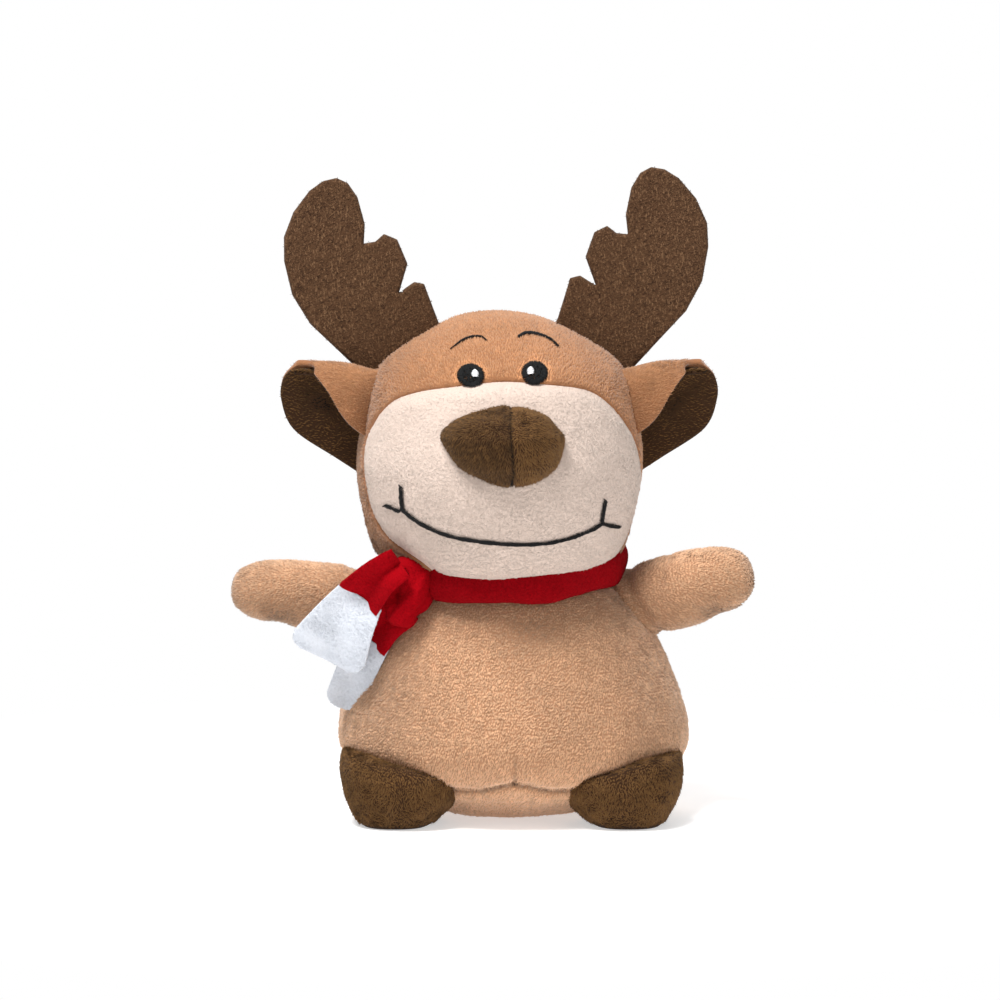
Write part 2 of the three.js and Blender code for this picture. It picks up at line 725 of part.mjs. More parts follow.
// Arm cover, open where it is sewn to the torso, round its filling
function makeArm(side) {
  const arm = arms[side];
  const hinge = shoulderOf(arm);
  const clear = (solid, gap) => clearThroughRange(
    clearThroughRange(solid, torsoGeometry(gap, 28, 16), hinge), bandGeometry(gap), hinge,
  );
  const [innerAround, innerAlong] = [12, 9];
  const hollow = solidOf(armGeometry(arm, -plushThickness, innerAround, innerAlong));
  const fill = solidOf(armGeometry(arm, -plushThickness - seamGap, innerAround, innerAlong));
  return [
    piece(`${side}_arm_cover`, clear(solidOf(armGeometry(arm, 0)), 2 * seamGap).subtract(hollow), tanPlush()),
    piece(`${side}_arm_filling`, clear(fill, 3 * seamGap), polyesterFill()),
  ];
}

// Foot: half widths and heights as shares, round below and nearly flat above, where it meets the torso
const footOutline = [
  [0, 0], [0.5, 0.01], [0.8, 0.13], [0.95, 0.38], [1, 0.66], [0.97, 0.86], [0.84, 0.97], [0.5, 1.01], [0, 1.02],
];

function footGeometry(sign, grow, sides = 22, rings = 11) {
  const footX = torsoMiddleX - footShift + sign * footSpread;
  const place = new THREE.Matrix4().makeTranslation(footX, -footForward, -groundFlat);
  return stuffedForm({
    outline: footOutline,
    width: footHalfWidth,
    height: footHeight,
    front: footFrontReach,
    back: footHalfWidth,
    sides,
    rings,
    grow,
    shift: (p) => new THREE.Vector3(
      p.x, p.y + (footLean * p.z) / footHeight, p.z * (1 + (sign * footSlope * p.x) / footHalfWidth),
    ),
  }).applyMatrix4(place);
}

// Foot cover, open where it is sewn to the torso, round its filling
function makeFoot(side, sign) {
  const torso = solidOf(torsoGeometry(seamGap));
  const outer = solidOf(footGeometry(sign, 0)).subtract(torso).intersect(above(0));
  const hollow = solidOf(footGeometry(sign, -plushThickness, 14, 8)).intersect(above(plushThickness));
  const fill = solidOf(footGeometry(sign, -plushThickness - seamGap, 14, 8))
    .intersect(above(plushThickness + seamGap)).subtract(torso);
  return [
    piece(`${side}_foot_cover`, largestBody(outer.subtract(hollow)), brownPlush()),
    piece(`${side}_foot_filling`, largestBody(fill), polyesterFill()),
  ];
}

// The head with room round it, and the hinge on which it turns
const neckPivot = new THREE.Vector3(headX, -headForward, headBase);
const neckHinge = { pivot: neckPivot, axis: upright, range: [-neckTurn, neckTurn] };
const headSweep = () => ({ head: headGeometry(2 * seamGap).applyMatrix4(headPlace), hinge: neckHinge });

const bandMiddleX = torsoMiddleAt(bandLevel);

// Scarf band: an oval ring of cloth round the neck, low in front, with its section a rounded oval
function bandGeometry(grow) {
  const [around, section] = [28, 8];
  const rings = Array.from({ length: around }, (_, i) => {
    const turn = (2 * Math.PI * i) / around;
    const outward = new THREE.Vector3(Math.cos(turn), Math.sin(turn), 0);
    const middle = new THREE.Vector3(
      bandMiddleX + bandHalfWidth * Math.cos(turn),
      bandHalfDepth * Math.sin(turn) - bandForward,
      bandLevel + bandSag * Math.sin(turn),
    );
    return Array.from({ length: section }, (__, j) => {
      const angle = (2 * Math.PI * j) / section;
      return middle.clone()
        .addScaledVector(outward, (bandThickness / 2 + grow) * Math.cos(angle))
        .addScaledVector(upright, (bandHeight / 2 + grow) * Math.sin(angle));
    });
  });
  return skinOverRings(rings, true);
}

// The gathered fold where the strip crosses itself, in front of the band at the viewer's left
function crossingGeometry(grow) {
  const place = new THREE.Matrix4().makeRotationY(crossingLean)
    .setPosition(crossingFoot);
  return stuffedForm({
    outline: [[0, 0], [0.6, 0.02], [0.95, 0.25], [1, 0.55], [0.8, 0.85], [0.45, 0.98], [0, 1]],
    width: crossingHalfWidth,
    height: crossingHeight,
    front: crossingHalfWidth * 0.8,
    back: crossingHalfWidth * 0.8,
    sides: 16,
    rings: 9,
    grow,
  }).applyMatrix4(place);
}

const crossingFoot = new THREE.Vector3(
  bandMiddleX - bandHalfWidth * 0.9, -bandHalfDepth * 0.87, bandLevel - crossingHeight * 0.8,
);

// A cloth strip that runs along a curve, changes its width on the way and has one main fold
function stripSurface({ path, widths, folds }) {
  const curve = new THREE.CatmullRomCurve3(path);
  return (u, v) => {
    const along = curve.getTangentAt(u);
    const across = new THREE.Vector3(-along.z, 0, along.x).normalize();
    const toward = new THREE.Vector3().crossVectors(across, along).normalize();
    const width = THREE.MathUtils.lerp(widths[0], widths[1], u);
    return curve.getPointAt(u)
      .addScaledVector(across, (v - 0.5) * width)
      .addScaledVector(toward, folds * Math.cos(2 * Math.PI * (v - 0.5)));
  };
}

// The line of one run of cloth between two places, bulging forwards and up between them
function runPath(from, to) {
  const middle = from.clone().add(to).multiplyScalar(0.5).add(new THREE.Vector3(0, -tailBulge, tailBulge / 2));
  return [from, middle, to];
}

// The two ends of the scarf: the front one lies over the arm and the rear one between it and the torso.
// Each leaves the crossing at its start, changes to pale cloth at its seam and ends at its tip. These places are
// measured from the foot of the crossing in shares of its height.
const direction = (x, y, z) => new THREE.Vector3(x, y, z).normalize();
const fromFoot = (x, y, z) => crossingFoot.clone().addScaledVector(new THREE.Vector3(x, y, z), crossingHeight);
const scarfRuns = [
  {
    name: 'front',
    start: fromFoot(-0.074, -0.368, 0.953),
    seam: fromFoot(-0.658, -0.126, 0.437),
    tip: fromFoot(-1.105, 0.095, -0.347),
    widths: [gatherWidth, tailWidth, frontEndWidth],
    axis: direction(-0.67, 0, 0.74),
    range: [0, frontTailLift],
  },
  {
    name: 'rear',
    start: fromFoot(0.042, 0.042, 0.158),
    seam: fromFoot(-0.516, 0.242, -0.232),
    tip: fromFoot(-0.937, 0.684, -1.189),
    widths: [gatherWidth, rearEndWidth, rearEndWidth],
    axis: direction(0, 1, 0),
    range: [0, rearTailSwing],
  },
];

const scarfHinge = ({ start, axis, range }) => ({ pivot: start, axis, range });

// The red and the pale cloth of one end, each as a surface, with a gap between them at the seam
function clothRuns(run) {
  const tailPast = run.seam.clone().sub(run.start).setLength(seamGap).add(run.seam);
  const paleStart = run.tip.clone().sub(run.seam).setLength(3 * seamGap).add(run.seam);
  const strip = (from, to, widths) => stripSurface({ path: runPath(from, to), widths, folds: foldDepth });
  const [gathered, middle, wide] = run.widths;
  return {
    tail: strip(run.start, run.seam, [gathered, middle]),
    end: strip(paleStart, run.tip, [middle, wide]),
    tailRoom: strip(run.start, tailPast, [gathered + 2 * seamGap, middle + 2 * seamGap]),
  };
}

const fleeceStrip = (surface, gap) => solidOf(
  clothSheet(surface, 10, 8, -fleeceThickness / 2 - gap, fleeceThickness / 2 + gap),
);

// The rear end gives way to the front one and both give way to the crossing, the torso and the turning head
function makeScarfEnds() {
  const { head, hinge: neck } = headSweep();
  const torso = torsoGeometry(2 * seamGap, 28, 16);
  const crossing = crossingGeometry(seamGap);
  const meshes = [];
  let nearer = [];
  for (const run of scarfRuns) {
    const own = scarfHinge(run);
    const cloths = clothRuns(run);
    const trim = (surface) => {
      let strip = clearThroughRange(fleeceStrip(surface, 0), head, neck);
      for (const room of [torso, crossing, ...nearer]) strip = clearThroughRange(strip, room, own);
      return strip;
    };
    const tail = largestBody(trim(cloths.tail));
    const end = largestBody(trim(cloths.end).subtract(fleeceStrip(cloths.tailRoom, seamGap)));
    meshes.push(piece(`scarf_${run.name}_tail`, tail, redFleece()));
    meshes.push(piece(`scarf_${run.name}_end`, end, paleFleece()));
    const half = fleeceThickness / 2 + seamGap;
    nearer = [cloths.tail, cloths.end].map((surface) => clothSheet(surface, 10, 8, -half, half));
  }
  return meshes;
}

function makeScarfBand() {
  const { head, hinge } = headSweep();
  const torso = solidOf(torsoGeometry(seamGap));
  const band = clearThroughRange(solidOf(bandGeometry(0)).subtract(torso), head, hinge);
  const crossing = clearThroughRange(
    solidOf(crossingGeometry(0)).subtract(torso).subtract(solidOf(bandGeometry(seamGap))), head, hinge,
  );
  return [piece('scarf_neck_band', band, redFleece()), piece('scarf_crossing', crossing, redFleece())];
}

// Assembly
const sides = [['left', -1], ['right', 1]];
const head = new THREE.Group();
head.applyMatrix4(headPlace);
head.add(...makeHeadCover(), ...makeNose(), ...makeEmbroidery());
for (const [side, sign] of sides) head.add(...makeEar(side, sign), makeAntler(side, sign));

const body = new THREE.Group();
body.add(...makeTorso(), ...makeScarfBand(), ...makeScarfEnds());
for (const [side, sign] of sides) body.add(...makeArm(side), ...makeFoot(side, sign));

const reindeer = new THREE.Group();
reindeer.add(body, head);

// The origin lies on the ground under the middle of the toy
reindeer.updateMatrixWorld(true);
const extent = new THREE.Box3().setFromObject(reindeer, true);
reindeer.position.set(-(extent.min.x + extent.max.x) / 2, -(extent.min.y + extent.max.y) / 2, 0);
reindeer.updateMatrixWorld(true);

// The lines on which the sewn pieces flex, in the toy's own frame, with their ranges in degrees
const placed = ({ pivot, axis, range }, group) => ({
  pivot: pivot.clone().applyMatrix4(group.matrixWorld),
  axis: axis.clone().transformDirection(group.matrixWorld),
  range,
});
reindeer.userData.hinges = {
  neck_turn: placed(neckHinge, body),
  left_shoulder: placed(shoulderOf(arms.left), body),
  right_shoulder: placed(shoulderOf(arms.right), body),
  left_ear_flop: placed(earHinge(-1), head),
  right_ear_flop: placed(earHinge(1), head),
  left_antler_flex: placed(antlerHinge(-1), head),
  right_antler_flex: placed(antlerHinge(1), head),
  scarf_front_lift: placed(scarfHinge(scarfRuns[0]), body),
  scarf_rear_swing: placed(scarfHinge(scarfRuns[1]), body),
};

export default reindeer;
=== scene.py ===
"""A stuffed reindeer in short plush, with felt antlers, cupped ears and a two-coloured fleece scarf.

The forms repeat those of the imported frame, in millimetres, and are sampled far more finely. Every cover is a
closed cloth shell with its seams pulled in, and the pile stands on it as small tufts that lie along the nap.
"""

import json
import logging
import math
from collections.abc import Callable, Sequence
from dataclasses import dataclass, field
from enum import Enum

import bmesh
import bpy
import numpy as np
from mathutils import Matrix, Vector


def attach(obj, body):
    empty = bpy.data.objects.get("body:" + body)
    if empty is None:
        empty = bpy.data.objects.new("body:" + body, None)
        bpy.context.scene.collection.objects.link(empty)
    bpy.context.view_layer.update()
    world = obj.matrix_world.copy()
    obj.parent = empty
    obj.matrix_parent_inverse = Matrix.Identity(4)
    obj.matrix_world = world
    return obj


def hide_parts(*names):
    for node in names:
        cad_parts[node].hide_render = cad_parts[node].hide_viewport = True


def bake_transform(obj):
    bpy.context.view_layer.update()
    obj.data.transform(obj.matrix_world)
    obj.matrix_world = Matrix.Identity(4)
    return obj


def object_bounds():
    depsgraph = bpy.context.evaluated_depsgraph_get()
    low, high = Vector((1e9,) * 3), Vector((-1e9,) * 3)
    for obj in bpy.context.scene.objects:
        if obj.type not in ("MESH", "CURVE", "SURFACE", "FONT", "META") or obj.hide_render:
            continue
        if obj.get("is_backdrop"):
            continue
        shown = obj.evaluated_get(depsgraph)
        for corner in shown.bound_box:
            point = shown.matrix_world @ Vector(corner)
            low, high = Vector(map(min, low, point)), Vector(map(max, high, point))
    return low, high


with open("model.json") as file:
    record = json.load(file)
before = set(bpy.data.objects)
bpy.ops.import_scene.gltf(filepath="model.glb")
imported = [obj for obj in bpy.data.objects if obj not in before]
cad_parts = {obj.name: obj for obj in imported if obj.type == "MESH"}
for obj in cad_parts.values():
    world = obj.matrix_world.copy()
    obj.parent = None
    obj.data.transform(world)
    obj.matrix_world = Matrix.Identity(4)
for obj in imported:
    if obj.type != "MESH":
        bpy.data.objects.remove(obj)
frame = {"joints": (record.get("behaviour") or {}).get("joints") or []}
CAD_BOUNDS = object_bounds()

LOG = logging.getLogger("reindeer")
MM = 0.001

# The head's place on the body: to the right, towards the front, up, and its turn
HEAD_X, HEAD_FORWARD, HEAD_BASE = 1.3, 2.0, 65.8
HEAD_YAW = math.radians(1.5)

# The torso: where its middle stands, how far it leans by its top, and its sizes
TORSO_MIDDLE_X, TORSO_LEAN, TORSO_HEIGHT = 5.6, 3.2, 66.0
TORSO_HALF_WIDTH, TORSO_FRONT, TORSO_BACK = 47.4, 38, 37

# The head's sizes, its side seam behind the middle, and how squarely the stuffed forms are rounded
HEAD_HALF_WIDTH, HEAD_HEIGHT, HEAD_FRONT, HEAD_BACK = 38.2, 71.5, 33.0, 32.0
HEAD_SEAM, SQUARENESS = 1, 2.1

# The muzzle's middle, how far it swells and how widely, and the depth at which a place faces the front
MUZZLE_LEVEL, MUZZLE_SWELL, MUZZLE_REACH = 25, 9, (31, 27)
FACE_SHARE = 0.6
EYE_HALF_WIDTH, EYE_HALF_HEIGHT = 3.65, 2.9

# How much the undersides are flattened, and how deep the roots of ears and antlers reach into the head
GROUND_FLAT, ROOTED = 0.5, 1.5

# Thickness of the plush and of the ears' lining, and how far a filling lies inside the outer skin
PLUSH, LINING = 1.4, 1.2
DRAWN_IN = -PLUSH - 0.4

# The least side of a sheet's flat cut, and how many waves make up an unevenness
LEAST_SIDE, WAVES = 10.1, 7

HINGES = {joint["name"]: np.array(joint["pos_m"]) for joint in frame["joints"]}
SHIFT = np.array([HINGES["neck_turn"][0] / MM - HEAD_X, HINGES["neck_turn"][1] / MM + HEAD_FORWARD, 0.0])

Points = np.ndarray
Field = Callable[[Points], np.ndarray]
Nap = Callable[[Points, Points], Points]


class Side(Enum):
    """The two sides of the toy, as the viewer sees them."""

    LEFT = -1
    RIGHT = 1

    @property
    def word(self) -> str:
        """The side's name at the start of its pieces' names."""
        return self.name.lower()


def moved(x: float, y: float, z: float, turn: float = 0.0) -> np.ndarray:
    """A 4 by 4 placing in the row frame, in millimetres, with a turn about the upright axis in radians."""
    return np.array(Matrix.Translation((x + SHIFT[0], y + SHIFT[1], z)) @ Matrix.Rotation(turn, 4, "Z"))


BODY_PLACE = moved(0, 0, 0)
HEAD_PLACE = moved(HEAD_X, -HEAD_FORWARD, HEAD_BASE, HEAD_YAW)


def put(points: Points, place: np.ndarray) -> Points:
    """Points of a placed frame in the row frame."""
    return points @ place[:3, :3].T + place[:3, 3]


def seen_from(points: Points, place: np.ndarray) -> Points:
    """Points of the row frame in a placed frame."""
    return (points - place[:3, 3]) @ place[:3, :3]


def in_head(points: Points) -> Points:
    """Points of the row frame in the head's own frame."""
    return seen_from(points, HEAD_PLACE)


def axes(points: Points) -> tuple[np.ndarray, np.ndarray, np.ndarray]:
    """How far points lie across, deep and up."""
    return points[..., 0], points[..., 1], points[..., 2]


def unit(vectors: Points) -> Points:
    """Vectors at length one, on the last axis; a vector of no length stays as it is."""
    length = np.linalg.norm(vectors, axis=-1, keepdims=True)
    return vectors / np.maximum(length, 1e-12)


def smooth(value: np.ndarray, low: float, high: float) -> np.ndarray:
    """A smooth step from 0 at low to 1 at high: 3t² − 2t³."""
    t = np.clip((value - low) / (high - low), 0, 1)
    return t * t * (3 - 2 * t)


def waves(points: Points, length: float, seed: int) -> np.ndarray:
    """Gentle unevenness: the mean of plane waves in seeded directions, between -1 and 1.

    Args:
        points: Where to read it, in millimetres.
        length: Typical wave length.
        seed: Seed of the directions.

    Returns:
        One value for each point.
    """
    rng = np.random.default_rng(seed)
    heading = unit(rng.normal(size=(WAVES, 3))) * (2 * math.pi / (length * rng.uniform(0.7, 1.5, (WAVES, 1))))
    return np.sin(points @ heading.T + rng.uniform(0, 6.3, WAVES)).sum(-1) / WAVES * 1.6


def bell(*shares: np.ndarray) -> np.ndarray:
    """A bell curve, 1 where all shares are 0: e to the power of minus the sum of their squares."""
    return np.exp(-sum(share**2 for share in shares))


def dip(distance: np.ndarray, depth: float, width: float) -> np.ndarray:
    """A groove along a line: a bell curve of the distance, all but gone at the width, below zero on the line."""
    return -depth * bell(distance / (width * 0.55))


class Curve:
    """A smooth line through guide points, read by the share of its length."""

    def __init__(self, guides: Sequence[Sequence[float]]) -> None:
        """Samples the Catmull-Rom line through the guides.

        Args:
            guides: The points that it passes through.
        """
        p = np.array(guides, float)
        before, after = np.vstack([p[:1], p[:-2]]), np.vstack([p[2:], p[-1:]])
        a, b = p[:-1, None], p[1:, None]
        start, end = (b - before[:, None]) / 2, (after[:, None] - a) / 2
        t = np.linspace(0, 1, 24, endpoint=False)[None, :, None]
        cubic = (2 * a - 2 * b + start + end) * t**3 + (3 * b - 3 * a - 2 * start - end) * t**2 + start * t + a
        self.line = np.vstack([cubic.reshape(-1, p.shape[1]), p[-1:]])
        self.reach = np.concatenate([[0], np.cumsum(np.linalg.norm(np.diff(self.line, axis=0), axis=1))])
        self.length = float(self.reach[-1])

    def at(self, share: np.ndarray) -> Points:
        """Points at shares of the length, from 0 to 1."""
        s = np.clip(share, 0, 1) * self.length
        return np.stack([np.interp(s, self.reach, self.line[:, k]) for k in range(self.line.shape[1])], -1)

    def along(self, share: np.ndarray) -> Points:
        """Unit tangents at shares of the length, from 0 to 1."""
        return unit(self.at(np.clip(share + 2e-3, 0, 1)) - self.at(np.clip(share - 2e-3, 0, 1)))


@dataclass
class StuffedForm:
    """An outline of half widths and heights, as shares, carried round an upright axis.

    The cross-section is a superellipse with its own depth in front and behind.
    """

    outline: Sequence[tuple[float, float]]
    width: float
    height: float
    front: float
    back: float
    grow: float = 0.0
    squareness: float = SQUARENESS
    shift: Callable[[Points], Points] | None = None

    def __post_init__(self) -> None:
        """Makes the outline's curve at its real size."""
        self.curve = Curve(np.array(self.outline) * [self.width, self.height])

    def locate(self, u: np.ndarray, v: np.ndarray) -> Points:
        """Points of the skin.

        Args:
            u: Share of the way up the outline.
            v: Share of the way round, from +X through +Y.

        Returns:
            The points in the form's own frame.
        """
        at, along = self.curve.at(u), self.curve.along(u)
        angle = 2 * math.pi * v
        power = 2 / self.squareness
        across = np.sign(np.cos(angle)) * np.abs(np.cos(angle)) ** power
        deep = np.sign(np.sin(angle)) * np.abs(np.sin(angle)) ** power
        half = np.maximum(at[..., 0], 0)
        share = np.where(deep < 0, self.front, self.back) / self.width
        out = self.grow * along[..., 1]
        point = np.stack([across * np.maximum(half + out, 0), deep * np.maximum(half * share + out, 0),
                          at[..., 1] - self.grow * along[..., 0]], -1)
        return self.shift(point) if self.shift else point

    def outside(self, points: Points) -> np.ndarray:
        """How far points lie outside the form, roughly in millimetres, before its shift.

        Args:
            points: Points in the form's own frame.

        Returns:
            One distance for each point, below zero inside.
        """
        x, y, z = axes(points)
        line = self.curve.line
        order = np.argsort(line[:, 1])
        half = np.maximum(np.interp(z, line[order, 1], line[order, 0], left=0.1, right=0.1), 0.1)
        deep = half * np.where(y < 0, self.front, self.back) / self.width
        ratio = (np.abs(x / half) ** self.squareness + np.abs(y / deep) ** self.squareness)
        return (ratio ** (1 / self.squareness) - 1) * half


@dataclass
class Weave:
    """A surface sampled on a grid, its vertices drawn onto the seams that cross it.

    Attributes:
        locate: Gives points at shares of the way up and of the way round.
        rows: Cells up the surface.
        columns: Cells round it.
        wraps: Whether it closes round.
        seams: Distances from its seams, below zero on one side.
        relief: How far the surface is raised along its normals.
        place: Its placing in the row frame.
        inward: Whether its faces look against the grid's own normals.
        passes: How often vertices are drawn to a seam in each round.
        near: How many cells a vertex may move in the first round.
        far: How many cells the vertices that touch both sides may move in the second.
    """

    locate: Callable[[np.ndarray, np.ndarray], Points]
    rows: int
    columns: int
    wraps: bool = True
    seams: Sequence[Field] = ()
    relief: Field | None = None
    place: np.ndarray = field(default_factory=lambda: BODY_PLACE)
    inward: bool = False
    passes: int = 3
    near: float = 0.5
    far: float = 1.3

    def __post_init__(self) -> None:
        """Samples the surface: near vertices go to the seams first, then all that touch both of their sides."""
        columns = self.columns if self.wraps else self.columns + 1
        u, v = np.meshgrid(np.arange(self.rows + 1) / self.rows, np.arange(columns) / self.columns, indexing="ij")
        for seam in self.seams:
            for _ in range(self.passes):
                u, v = self._draw(seam, u, v, self.near)
            astride = self._astride(seam(self._raised(u, v)))
            for _ in range(self.passes):
                u, v = self._draw(seam, u, v, self.far, astride)
        self.local = self._raised(u, v)
        self.normals = self._normals(self.local) @ self.place[:3, :3].T
        self.points = put(self.local, self.place)

    def _raised(self, u: np.ndarray, v: np.ndarray) -> Points:
        """The surface with its relief at the grid's places."""
        local = self.locate(u, v)
        return local + self._normals(local) * self.relief(local)[..., None] if self.relief else local

    def _draw(self, seam: Field, u: np.ndarray, v: np.ndarray, reach: float,
              chosen: np.ndarray | bool = True) -> tuple[np.ndarray, np.ndarray]:
        """The grid's places with the chosen vertices moved onto a seam that lies within reach of them, in cells.

        Args:
            seam: Distance from the seam, below zero on its other side.
            u: Shares of the way up.
            v: Shares of the way round.
            reach: How many cells a vertex may move.
            chosen: The vertices that may move.

        Returns:
            The new shares up and round.
        """
        value = seam(self._raised(u, v))
        up, round_ = (steps[..., 0] for steps in self._steps(value[..., None]))
        size = up**2 + round_**2 + 1e-9
        du, dv = -value * up / size, -value * round_ / size
        near = (np.abs(du) < reach) & (np.abs(dv) < reach) & chosen
        near[0] = near[-1] = False
        return u + np.where(near, du, 0) / self.rows, v + np.where(near, dv, 0) / self.columns

    def _astride(self, value: np.ndarray) -> np.ndarray:
        """The vertices that touch cells on both sides of a seam.

        Args:
            value: Distance from the seam at each vertex.

        Returns:
            One truth value for each vertex.
        """
        value = np.concatenate([value, value[:, :1]], 1) if self.wraps else value
        side = value[:-1, :-1] + value[1:, :-1] + value[1:, 1:] + value[:-1, 1:] > 0
        side = np.pad(side, ((1, 1), (0, 0)), "edge")
        side = np.pad(side, ((0, 0), (1, 0)), "wrap") if self.wraps else np.pad(side, ((0, 0), (1, 1)), "edge")
        around = np.stack([side[:-1, :-1], side[1:, :-1], side[1:, 1:], side[:-1, 1:]])
        return around.any(0) & ~around.all(0)

    def _steps(self, values: np.ndarray) -> tuple[np.ndarray, np.ndarray]:
        """The change of values for one row and for one column.

        Args:
            values: Something read at every vertex.

        Returns:
            The change up the grid and the change round it.
        """
        up = np.gradient(values, axis=0)
        if self.wraps:
            return up, (np.roll(values, -1, 1) - np.roll(values, 1, 1)) / 2
        return up, np.gradient(values, axis=1)

    def _normals(self, points: Points) -> Points:
        """Unit normals of a grid of points, outwards for a closed form.

        Args:
            points: The grid's points.

        Returns:
            One normal for each point.
        """
        up, round_ = self._steps(points)
        normal = np.cross(round_, up)
        flat = np.linalg.norm(normal, axis=-1) < 1e-7
        for row, beside in ((0, 1), (-1, -2)):
            normal[row] = np.where(flat[row][:, None], unit(normal[beside]).mean(0), normal[row])
        return unit(-normal if self.inward else normal)

    @property
    def every(self) -> np.ndarray:
        """The mask that keeps every cell."""
        return np.ones((self.rows, self.columns), bool)

    def middles(self) -> Points:
        """The middle of every cell, in the form's own frame."""
        p = self.local if not self.wraps else np.concatenate([self.local, self.local[:, :1]], 1)
        return (p[:-1, :-1] + p[1:, :-1] + p[1:, 1:] + p[:-1, 1:]) / 4

    def shell(self, name: str, keep: np.ndarray, thickness: np.ndarray | float) -> bpy.types.Object:
        """A closed shell over the kept cells, or the bare skin where no thickness is given.

        Args:
            name: Name of the piece.
            keep: One truth value for each cell.
            thickness: Thickness inwards in millimetres, one number or one for each vertex; 0 leaves one skin.

        Returns:
            The new object.
        """
        quads = quads_at(*np.nonzero(keep), self.points.shape[1])
        if self.inward:
            quads = quads[:, ::-1]
        used, flat = np.unique(quads, return_inverse=True)
        quads = flat.reshape(-1, 4)
        outer = self.points.reshape(-1, 3)[used]
        if np.isscalar(thickness) and thickness == 0:
            return mesh_object(name, outer, quads)
        depth = thickness if np.isscalar(thickness) else thickness.reshape(-1)[used, None]
        inner = outer - self.normals.reshape(-1, 3)[used] * depth
        rim, n = rim_of(quads, outer), len(used)
        sides = np.stack([rim[:, 1], rim[:, 0], rim[:, 0] + n, rim[:, 1] + n], 1)
        return mesh_object(name, np.vstack([outer, inner]), np.vstack([quads, quads[:, ::-1] + n, sides]))

    def read(self, fi: np.ndarray, fj: np.ndarray) -> tuple[Points, Points]:
        """Points and normals between the grid's vertices.

        Args:
            fi: Row positions, with fractions.
            fj: Column positions, with fractions.

        Returns:
            The points and the unit normals.
        """
        i, j = np.floor(fi).astype(int), np.floor(fj).astype(int)
        s, t = (fi - i)[:, None], (fj - j)[:, None]
        width = self.points.shape[1]
        k = (j + 1) % width

        def mix(a: Points) -> Points:
            """Values between the four vertices round each place."""
            return (a[i, j] * (1 - s) * (1 - t) + a[i + 1, j] * s * (1 - t)
                    + a[i + 1, k] * s * t + a[i, k] * (1 - s) * t)

        return mix(self.points), unit(mix(self.normals))


def quads_at(i: np.ndarray, j: np.ndarray, width: int) -> np.ndarray:
    """The vertex numbers of cells in a grid that closes round, by row, column and vertices in a row."""
    k = (j + 1) % width
    return np.stack([i * width + j, i * width + k, (i + 1) * width + k, (i + 1) * width + j], -1)


def rim_of(quads: np.ndarray, points: Points) -> np.ndarray:
    """The edges that only one quad has, apart from edges of no length.

    Args:
        quads: Vertex numbers.
        points: The vertices.

    Returns:
        Pairs of vertex numbers, in the order in which their quad runs.
    """
    edges = np.stack([quads, np.roll(quads, -1, 1)], -1).reshape(-1, 2)
    keys = np.sort(edges, 1) @ [len(points), 1]
    _, first, count = np.unique(keys, return_index=True, return_counts=True)
    rim = edges[first[count == 1]]
    return rim[np.linalg.norm(points[rim[:, 0]] - points[rim[:, 1]], axis=1) > 1e-6]


